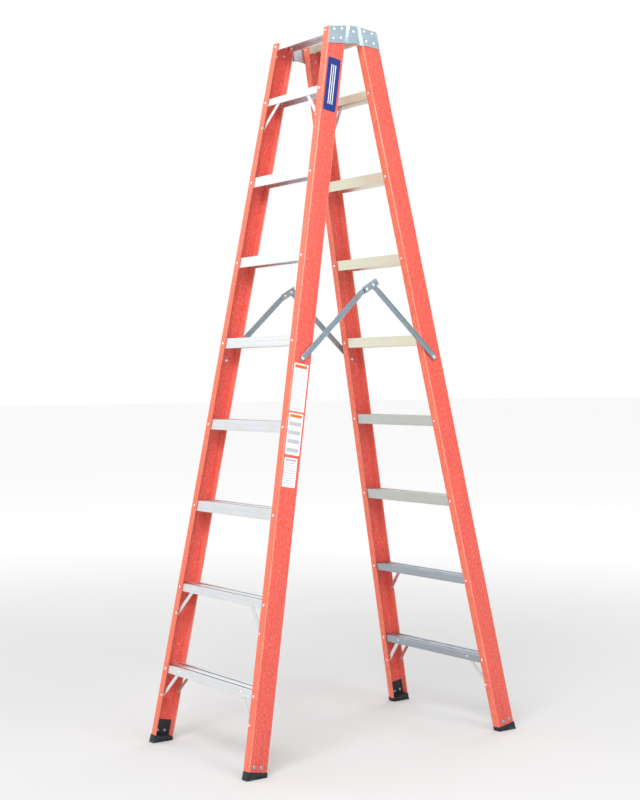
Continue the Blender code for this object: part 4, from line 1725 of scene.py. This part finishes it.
@dataclass
class Spreader:
    """The folding spreader of one side: two bars, an elbow bracket and their pins."""

    bench: Bench
    side: int
    joints: dict[str, dict]
    strip: PressedStrip = PressedStrip(0.020, 0.002, edge=0.0006)
    front_out: float = 0.0024
    rear_out: float = 0.0048
    lip: float = 0.005
    lip_start: float = 0.015
    lip_fade: float = 0.006
    rear_lip_end: float = 0.024
    bracket_slope: float = math.radians(30)
    bracket_back: float = 0.043
    bracket_front: float = 0.022
    bracket_out: float = 0.0101
    bracket_thick: float = 0.002
    bracket_gap: float = 0.0008
    bracket_bend: float = 0.0032
    bracket_edge: float = 0.0004
    bracket_corner: float = 0.003
    corner_cut: Point = (0.3, 0.29)         # shares of a round corner: along, and drawn in
    rear_pin_clear: float = 0.0018
    pin_tail: float = 0.6                   # share of a full tail's height
    facets: int = 24
    fixing: float = 0.032
    kink_back: float = 0.055
    ramp_back: float = 0.062
    ramp_front: float = 0.046
    ramp_hold: float = 0.042
    ramp_end: float = 0.037
    ramp_lift: float = 0.003
    pin: Rivet = Rivet(0.0062, 0.0030, 0.0035, 0.0058, 0.0024, 0.0005)

    def __post_init__(self) -> None:
        """Find the places of its pins."""
        self.name = "right" if self.side > 0 else "left"
        self.rail_pin = Vector(self.joints[self.name + "_front_spreader_swing"]["pos_m"])
        self.elbow = Vector(self.joints[self.name + "_elbow"]["pos_m"])
        self.rear_pin = Vector((self.rail_pin.x, -self.rail_pin.y, self.rail_pin.z))

    def _piece(self, kind: str, shape: bmesh.types.BMesh, at: Vector, body: str, slot: str,
               stands_for: Sequence[str]) -> None:
        """Put a piece built for the +X side at a point of this side."""
        mesh = finish_mesh(shape, kind, self.side < 0)
        self.bench.add(kind, mesh, Matrix.Translation(at), body, slot, stands_for)

    def front_bar(self) -> None:
        """Bar from the rail pin, bent and flattened where it meets the bracket."""
        run = self.elbow - self.rail_pin
        back = Vector((0, -math.cos(self.bracket_slope), -math.sin(self.bracket_slope)))
        stop = Vector((0, run.y, run.z))
        kink = stop + back * self.kink_back
        heading = math.atan2(kink.z, kink.y)
        along = kink.normalized()
        radius = self.strip.width / 2
        flat = self.strip.thick
        stations = self.strip.round_end(Vector((0, 0, 0)), heading, True, flat)

        def put(at: Vector, turn: float, lip: float, lift: float) -> None:
            """Add a cut."""
            stations.append(Station(at, turn, radius, lip, lift))

        reach = kink.length
        put(along * self.lip_start, heading, flat, 0.0)
        put(along * (self.lip_start + self.lip_fade), heading, self.lip, 0.0)
        fade_at = reach - (self.ramp_back - self.kink_back) - self.lip_fade
        put(along * fade_at, heading, self.lip, 0.0)
        put(along * (fade_at + self.lip_fade), heading, flat, 0.0)
        middle = (heading + self.bracket_slope) / 2
        span = self.ramp_back - self.ramp_front
        at_kink = (self.ramp_back - self.kink_back) / span * self.ramp_lift
        put(kink, middle, flat, at_kink)
        put(stop + back * self.ramp_front, self.bracket_slope, flat, self.ramp_lift)
        put(stop + back * self.ramp_hold, self.bracket_slope, flat, self.ramp_lift)
        put(stop + back * self.ramp_end, self.bracket_slope, flat, 0.0)
        stations += self.strip.round_end(stop, self.bracket_slope, False, flat)
        shape = self.strip.skin(stations)
        bmesh.ops.translate(shape, vec=(self.front_out, 0, 0), verts=shape.verts)
        self._piece(self.name + "_front_spreader_pressing", shape, self.rail_pin,
                    self.name + "_front_spreader", "spreader_steel",
                    [self.name + "_front_spreader_bar"])

    def rear_bar(self) -> None:
        """Bar from the elbow down to the rear rail."""
        run = self.rear_pin - self.elbow
        heading = math.atan2(run.z, run.y)
        length = math.hypot(run.y, run.z)
        along = Vector((0, run.y, run.z)).normalized()
        radius = self.strip.width / 2
        flat = self.strip.thick
        stations = self.strip.round_end(Vector((0, 0, 0)), heading, True, flat)
        for at, lip in ((self.rear_lip_end, flat), (self.rear_lip_end + self.lip_fade, self.lip),
                        (length - self.lip_start - self.lip_fade, self.lip),
                        (length - self.lip_start, flat)):
            stations.append(Station(along * at, heading, radius, lip))
        stations += self.strip.round_end(along * length, heading, False, flat)
        shape = self.strip.skin(stations)
        bmesh.ops.translate(shape, vec=(self.rear_out, 0, 0), verts=shape.verts)
        self._piece(self.name + "_rear_spreader_pressing", shape, self.elbow,
                    self.name + "_rear_spreader", "spreader_steel",
                    [self.name + "_rear_spreader_bar"])

    def bracket(self) -> None:
        """Angle over the elbow, its turned edge folded in towards the bars."""
        radius = self.strip.width / 2
        top = radius + self.bracket_gap
        outer = self.bracket_out + self.bracket_thick
        thick = self.bracket_thick
        bend = self.bracket_bend
        corner = self.bracket_corner
        edge = self.bracket_edge
        lip = self.front_out
        section = [(self.bracket_out, -radius), (outer - edge, -radius), (outer, -radius + edge)]
        section += arc((outer - bend, top + thick - bend), bend, 0, 90, 6)
        section += [(lip + edge, top + thick), (lip, top + thick - edge), (lip, top + edge),
                    (lip + edge, top)]
        section += arc((outer - bend, top + thick - bend), bend - thick, 90, 0, 4)
        along = Vector((0, math.cos(self.bracket_slope), math.sin(self.bracket_slope)))
        aside = Vector((0, -math.sin(self.bracket_slope), math.cos(self.bracket_slope)))
        rings = []
        cut, drawn = (share * corner for share in self.corner_cut)
        back, front = -self.bracket_back, self.bracket_front
        marks = [(back, corner), (back + cut, drawn), (back + corner, 0.0),
                 (front - corner, 0.0), (front - cut, drawn), (front, corner)]
        for at, draw in marks:
            ring = []
            for out, across in section:
                low = across + draw * max(0.0, -across) / radius
                ring.append(Vector((out, 0, 0)) + along * at + aside * low)
            rings.append(ring)
        shape = bmesh.new()
        loft(shape, rings)
        self._piece(self.name + "_elbow_pressing", shape, self.elbow,
                    self.name + "_front_spreader", "spreader_steel",
                    [self.name + "_elbow_bracket"])

    def _pin(self, kind: str, seat: float, bottom: float, collars: Sequence[tuple],
             at: Vector, body: str, node: str) -> None:
        """A pin along X with collars between (outer, inner) faces.

        Args:
            kind: the piece's name.
            seat: distance out of the face that its head sits on.
            bottom: distance out of its tail's seat.
            collars: the collars' outer and inner faces.
            at: its point on the rail's face.
            body: the body that it rides on.
            node: the node that it stands for, or an empty name.
        """
        points = dome(self.pin.head, self.pin.head_height, self.pin.rim, seat)
        points.append((self.pin.shank, seat))
        for outer, inner in collars:
            points += [(self.pin.shank, outer), (self.pin.tail_radius, outer),
                       (self.pin.tail_radius, inner), (self.pin.shank, inner)]
        points += [(self.pin.shank, bottom)]
        points += tail(self.pin.tail_radius, self.pin.tail_height * self.pin_tail, bottom)
        shape = bmesh.new()
        revolve(shape, points, OUTWARD, self.facets)
        self._piece(kind, shape, at, body, "rivet_steel", [node] if node else [])

    def pins(self) -> None:
        """Pins at the rails and the elbow, and the rivet that fixes the bracket."""
        wall = self.bench.layout.rail_wall
        gap = self.bench.layout.gap
        thick = self.strip.thick
        front_body = End.FRONT.body
        name = self.name
        self._pin(name + "_front_rail_rivet", self.front_out + thick, -wall - gap,
                  [(self.front_out - gap, gap)], self.rail_pin, front_body,
                  f"front_{name}_spreader_pin")
        self._pin(name + "_elbow_rivet", self.bracket_out + self.bracket_thick,
                  self.front_out, [(self.bracket_out - gap, self.rear_out + thick + gap)],
                  self.elbow, name + "_front_spreader", name + "_elbow_pin")
        back = Vector((0, -math.cos(self.bracket_slope), -math.sin(self.bracket_slope)))
        self._pin(name + "_bracket_rivet", self.bracket_out + self.bracket_thick,
                  self.front_out, [(self.bracket_out - gap, self.front_out + thick)],
                  self.elbow + back * self.fixing, name + "_front_spreader", "")
        self._rear_pin()

    def _rear_pin(self) -> None:
        """Pin of the rear bar, which ends just off the rail's face, and its tail in the rail."""
        layout = self.bench.layout
        seat = self.rear_out + self.strip.thick
        clear = self.rear_pin_clear
        collar = self.rear_out - layout.gap
        points = dome(self.pin.head, self.pin.head_height, self.pin.rim, seat)
        points += [(self.pin.shank, seat), (self.pin.shank, collar),
                   (self.pin.tail_radius, collar), (self.pin.tail_radius, clear), (0.0, clear)]
        shape = bmesh.new()
        revolve(shape, points, OUTWARD, self.facets)
        self._piece(self.name + "_rear_rail_rivet", shape, self.rear_pin,
                    self.name + "_rear_spreader", "rivet_steel",
                    [f"rear_{self.name}_spreader_pin"])
        shape = bmesh.new()
        inward = Matrix.Translation((-layout.rail_wall, 0, 0)) @ OUTWARD.inverted()
        profile = dome(self.pin.head, self.pin.tail_height, self.pin.rim)
        revolve(shape, profile + [(0.0, 0.0)], inward, self.facets)
        self._piece(self.name + "_rear_rail_rivet_tail", shape, self.rear_pin, End.REAR.body,
                    "rivet_steel", [])

    def build(self) -> None:
        """The whole spreader."""
        self.front_bar()
        self.rear_bar()
        self.bracket()
        self.pins()


# Stickers

@dataclass
class Sticker:
    """A plain sticker on the outer face of the right front rail."""

    bench: Bench
    look: Print
    middle_up: float
    middle_depth: float = 0.0372
    corner: float = 0.004
    thick: float = 0.00022
    lift: float = 0.00003
    corner_steps: int = 5

    def build(self) -> None:
        """Thin sheet with round corners."""
        half = self.look.width / 2
        tall = self.look.height / 2
        turn = self.corner
        steps = self.corner_steps
        outline = (arc((half - turn, tall - turn), turn, 0, 90, steps)
                   + arc((turn - half, tall - turn), turn, 90, 180, steps)
                   + arc((turn - half, turn - tall), turn, 180, 270, steps)
                   + arc((half - turn, turn - tall), turn, 270, 360, steps))
        shape = bmesh.new()
        loft(shape, [[Vector((x, y, z)) for x, y in outline] for z in (0.0, self.thick)])
        name = self.look.name
        mesh = finish_mesh(shape, name)
        layout = self.bench.layout
        stand = Matrix(((0, 0, 1, self.lift), (1, 0, 0, self.middle_depth),
                        (0, 1, 0, self.middle_up), (0, 0, 0, 1)))
        place = layout.rail_matrix(End.FRONT, 1) @ stand
        self.bench.add(name, mesh, place, End.FRONT.body, "rail_fibreglass",
                       material=self.look.material())


# Studio

@dataclass(frozen=True)
class SoftBox:
    """A square soft light that looks at the ladder's middle."""

    name: str
    azimuth: float
    elevation: float
    distance: float
    size: float
    watts: float
    colour: Colour = (1.0, 1.0, 1.0)

    def build(self, target: Vector) -> None:
        """Hang the light.

        Args:
            target: the point that it looks at.
        """
        light = bpy.data.lights.new(self.name, "AREA")
        light.shape = "SQUARE"
        light.size = self.size
        light.energy = self.watts
        light.color = self.colour
        lamp = add_object(self.name, light)
        turn, rise = math.radians(self.azimuth), math.radians(self.elevation)
        away = Vector((math.sin(turn) * math.cos(rise), -math.cos(turn) * math.cos(rise),
                       math.sin(rise)))
        lamp.location = target + away * self.distance
        lamp.rotation_mode = "QUATERNION"
        lamp.rotation_quaternion = away.to_track_quat("Z", "Y")


@dataclass(frozen=True)
class StudioCamera:
    """Camera at a standing person's distance, looking level across the ladder."""

    place: tuple[float, float, float] = (4.504, -3.152, 1.342)
    azimuth: float = 55.37
    down: float = 1.136
    roll: float = -0.861
    lens: float = 67.58
    sensor: float = 36.0

    def build(self) -> None:
        """Make the camera and use it."""
        data = bpy.data.cameras.new("studio_camera")
        data.lens = self.lens
        data.sensor_width = self.sensor
        camera = add_object("studio_camera", data)
        turn, dip, roll = (math.radians(a) for a in (self.azimuth, self.down, self.roll))
        ahead = Vector((-math.sin(turn) * math.cos(dip), math.cos(turn) * math.cos(dip),
                        -math.sin(dip)))
        right = Vector((math.cos(turn), math.sin(turn), 0))
        above = right.cross(ahead)
        across = math.cos(roll) * right + math.sin(roll) * above
        upward = -math.sin(roll) * right + math.cos(roll) * above
        axes = Matrix((across, upward, -ahead)).transposed()
        camera.matrix_world = Matrix.Translation(self.place) @ axes.to_4x4()
        bpy.context.scene.camera = camera


@dataclass(frozen=True)
class Studio:
    """Pale floor, soft surroundings that are brighter on one side, and soft lights."""

    floor_radius: float = 60.0
    floor_sides: int = 96
    speck: float = 0.99             # grey of a speck by the floor's
    floor_colour: Colour = (0.70, 0.70, 0.70)
    far_glow: Colour = (0.42, 0.42, 0.42)
    glow_from: float = 1.2
    glow_to: float = 8.0
    backdrop: float = 1.0
    bright: float = 0.84
    dim: float = 0.40
    bright_side: tuple[float, float, float] = (-0.35, -0.60, 0.72)
    turn_over: Point = (-0.7, 0.8)      # how squarely a direction faces the bright side
    lights: tuple[SoftBox, ...] = (
        SoftBox("side_soft_box", 93, 29, 6.0, 2.4, 85.0),
        SoftBox("key_soft_box", 40, 42, 6.5, 3.0, 235.0),
        SoftBox("left_soft_box", -55, 30, 6.5, 4.0, 26.0),
        SoftBox("back_soft_box", 205, 35, 7.0, 3.5, 80.0),
    )

    def floor(self) -> None:
        """A wide pale disc under the feet with a painted glow, nil near the feet and brighter
        farther out, so that it fades into the backdrop.
        """
        shape = bmesh.new()
        bmesh.ops.create_circle(shape, cap_ends=True, segments=self.floor_sides,
                                radius=self.floor_radius)
        mesh = bpy.data.meshes.new("studio_floor")
        shape.to_mesh(mesh)
        shape.free()
        graph = Graph.of_material("studio_floor", 0.9, 0.0)
        place = graph.place()
        away = graph.node("ShaderNodeVectorMath", {"operation": "LENGTH"}, {0: place}, 1)
        glow = graph.mix(away.between(self.glow_from, self.glow_to), (0.0, 0.0, 0.0),
                         self.far_glow)
        speck = graph.noise(place, 3.0)
        grey = tuple(value * self.speck for value in self.floor_colour)
        graph.feed(Base_Color=graph.mix(speck, self.floor_colour, grey), Emission_Color=glow,
                   Emission_Strength=1.0, Specular_IOR_Level=0.1)
        mesh.materials.append(graph.owner)
        add_object("studio_floor", mesh)

    def surroundings(self) -> None:
        """Light from all round, brighter above and on one side, before a white backdrop."""
        world = bpy.data.worlds.new("studio_world")
        graph = Graph(world, "Background")
        toward = graph.node("ShaderNodeTexCoord", {}, {})
        share = graph.node("ShaderNodeVectorMath", {"operation": "DOT_PRODUCT"},
                           {0: toward, 1: self.bright_side}, 1)
        glow = self.dim + share.between(*self.turn_over) * (self.bright - self.dim)
        seen = graph.node("ShaderNodeLightPath", {}, {})
        graph.feed(Color=(1.0, 1.0, 1.0), Strength=glow + (self.backdrop - glow) * seen)
        bpy.context.scene.world = world

    def build(self, target: Vector) -> None:
        """Everything round the ladder.

        Args:
            target: the ladder's middle.
        """
        self.floor()
        self.surroundings()
        for light in self.lights:
            light.build(target)
        StudioCamera().build()
        bpy.context.scene.view_settings.view_transform = "Standard"


# Assembly

WHITE: Colour = (0.86, 0.87, 0.88)
GREY: Colour = (0.42, 0.45, 0.50)
ORANGE: Colour = (0.86, 0.17, 0.02)
BLUE: Colour = (0.006, 0.030, 0.22)

OUTER_BRACED = (1, 2, 8)
INNER_BRACED = (1,)
SHADED_UP_TO = 2          # number of the rear frame's highest tread painted in full shade
# highest rear tread painted in half shade; the rear treads above it get the painted warm reflection
HALF_SHADED_UP_TO = 4

STICKERS = (
    (Print("blue_sticker", 0.053, 0.193, BLUE, WHITE, 0.0, WHITE, bars=3),
     2.3945, 0.0375, 0.007),
    (Print("long_white_sticker", 0.059, 0.165, WHITE, ORANGE, 0.011, GREY, 0.0062, 0.28),
     1.3155, 0.0365, 0.003),
    (Print("middle_white_sticker", 0.059, 0.143, WHITE, ORANGE, 0.010, GREY, 0.030, 0.45),
     1.1555, 0.0365, 0.003),
    (Print("short_white_sticker", 0.053, 0.100, WHITE, GREY, 0.006, GREY, 0.0085, 0.30),
     1.0240, 0.0350, 0.003),
)


def finishes(layout: Layout) -> dict[str, bpy.types.Material]:
    """A material for each of the record's slots.

    Args:
        layout: the ladder's layout.

    Returns:
        The materials by slot, and the zinc bolts'.
    """
    looks = (Fibreglass(layout.rail_depth, layout.rail_corner),
             MillAluminium("brace_aluminium", (0.1, 0.1, 0.1), warm=(0.88, 0.85, 0.72)),
             Galvanised("hinge_steel", roughness=0.30, metallic=0.8),
             Galvanised("spreader_steel", light=(0.35, 0.43, 0.48), dark=(0.20, 0.27, 0.31)),
             Galvanised("zinc_bolt", (0.42, 0.52, 0.58), (0.26, 0.34, 0.40), 0.26, 0.9),
             Rubber(), BrightRivet())
    return {look.slot: look.material() for look in looks}


class TreadShade(Enum):
    """Painted shade of the treads, as (bright, dull, warm) colours of the metal: darker copies
    stand in for shade and a yellowed one for a warm reflection.
    """

    CLEAN = ((0.86, 0.90, 0.94), (0.58, 0.63, 0.68), (0.84, 0.83, 0.74))
    YELLOWED = ((0.86, 0.86, 0.72), (0.62, 0.64, 0.56), (0.88, 0.85, 0.58))
    # painted half shade: a greyer copy of the metal for the middle rear treads
    GREY = ((0.60, 0.63, 0.60), (0.44, 0.48, 0.50), (0.66, 0.67, 0.56))
    DULL = ((0.42, 0.48, 0.53), (0.30, 0.35, 0.40), (0.46, 0.50, 0.54))

    @classmethod
    def of_tread(cls, end: End, number: int) -> "TreadShade":
        """Painted shade of a tread: the rear frame's are painted darker the lower they are, and its
        upper ones yellower as a painted reflection.

        Args:
            end: which frame.
            number: the tread's number.

        Returns:
            Its painted shade.
        """
        if end is End.FRONT:
            return cls.CLEAN
        if number <= SHADED_UP_TO:
            return cls.DULL
        return cls.GREY if number <= HALF_SHADED_UP_TO else cls.YELLOWED


def tread_looks(layout: Layout) -> dict[TreadShade, bpy.types.Material]:
    """A tread material for each painted shade.

    Args:
        layout: the ladder's layout.

    Returns:
        The materials by painted shade.
    """
    near = layout.rail_wall + layout.gap + Tread.edge_band + Tread.groove / 2
    grooves = (near, layout.rail_depth - near)
    made = {}
    # each copy of the metal is painted: the darker ones stand in for shade, the yellow one for a
    # warm reflection
    for wear in TreadShade:
        bright, dull, warm = wear.value
        made[wear] = TreadAluminium("tread_aluminium", (0.004, 1.0, 1.0), bright, dull, warm,
                                    grooves=grooves).material()
    return made


def build_frame(bench: Bench, end: End, treads: dict[TreadShade, bpy.types.Material]) -> None:
    """One frame: rails, feet, treads, braces, hinge plates and rivets.

    Args:
        bench: the layout and finishes.
        end: which frame.
        treads: the tread materials by painted shade.
    """
    for side in (1, -1):
        Rail(bench, end, side).build()
        Foot(bench, end, side).build()
        HingePlate(bench, end, side).build()
        braces = [Brace(bench, end, side, number, False) for number in OUTER_BRACED]
        braces += [Brace(bench, end, side, number, True) for number in INNER_BRACED]
        for brace in braces:
            brace.build()
        FrameRivets(bench, end, side, braces).build()
    for number in range(1, bench.layout.treads + 1):
        Tread(bench, end, number, treads[TreadShade.of_tread(end, number)]).build()


def main() -> None:
    """Build the ladder and the studio."""
    logging.basicConfig(level=logging.INFO, format="%(name)s: %(message)s")
    layout = Layout.from_joints(frame["joints"])
    bench = Bench(layout, finishes(layout))
    treads = tread_looks(layout)
    for end in End:
        build_frame(bench, end, treads)
    joints = {joint["name"]: joint for joint in frame["joints"]}
    for side in (1, -1):
        HingePivot(bench, side).build()
        Spreader(bench, side, joints).build()
    for look, up, depth, corner in STICKERS:
        Sticker(bench, look, up, depth, corner).build()
    low, high = CAD_BOX
    Studio().build((low + high) / 2)


if __name__ == "__main__":
    main()
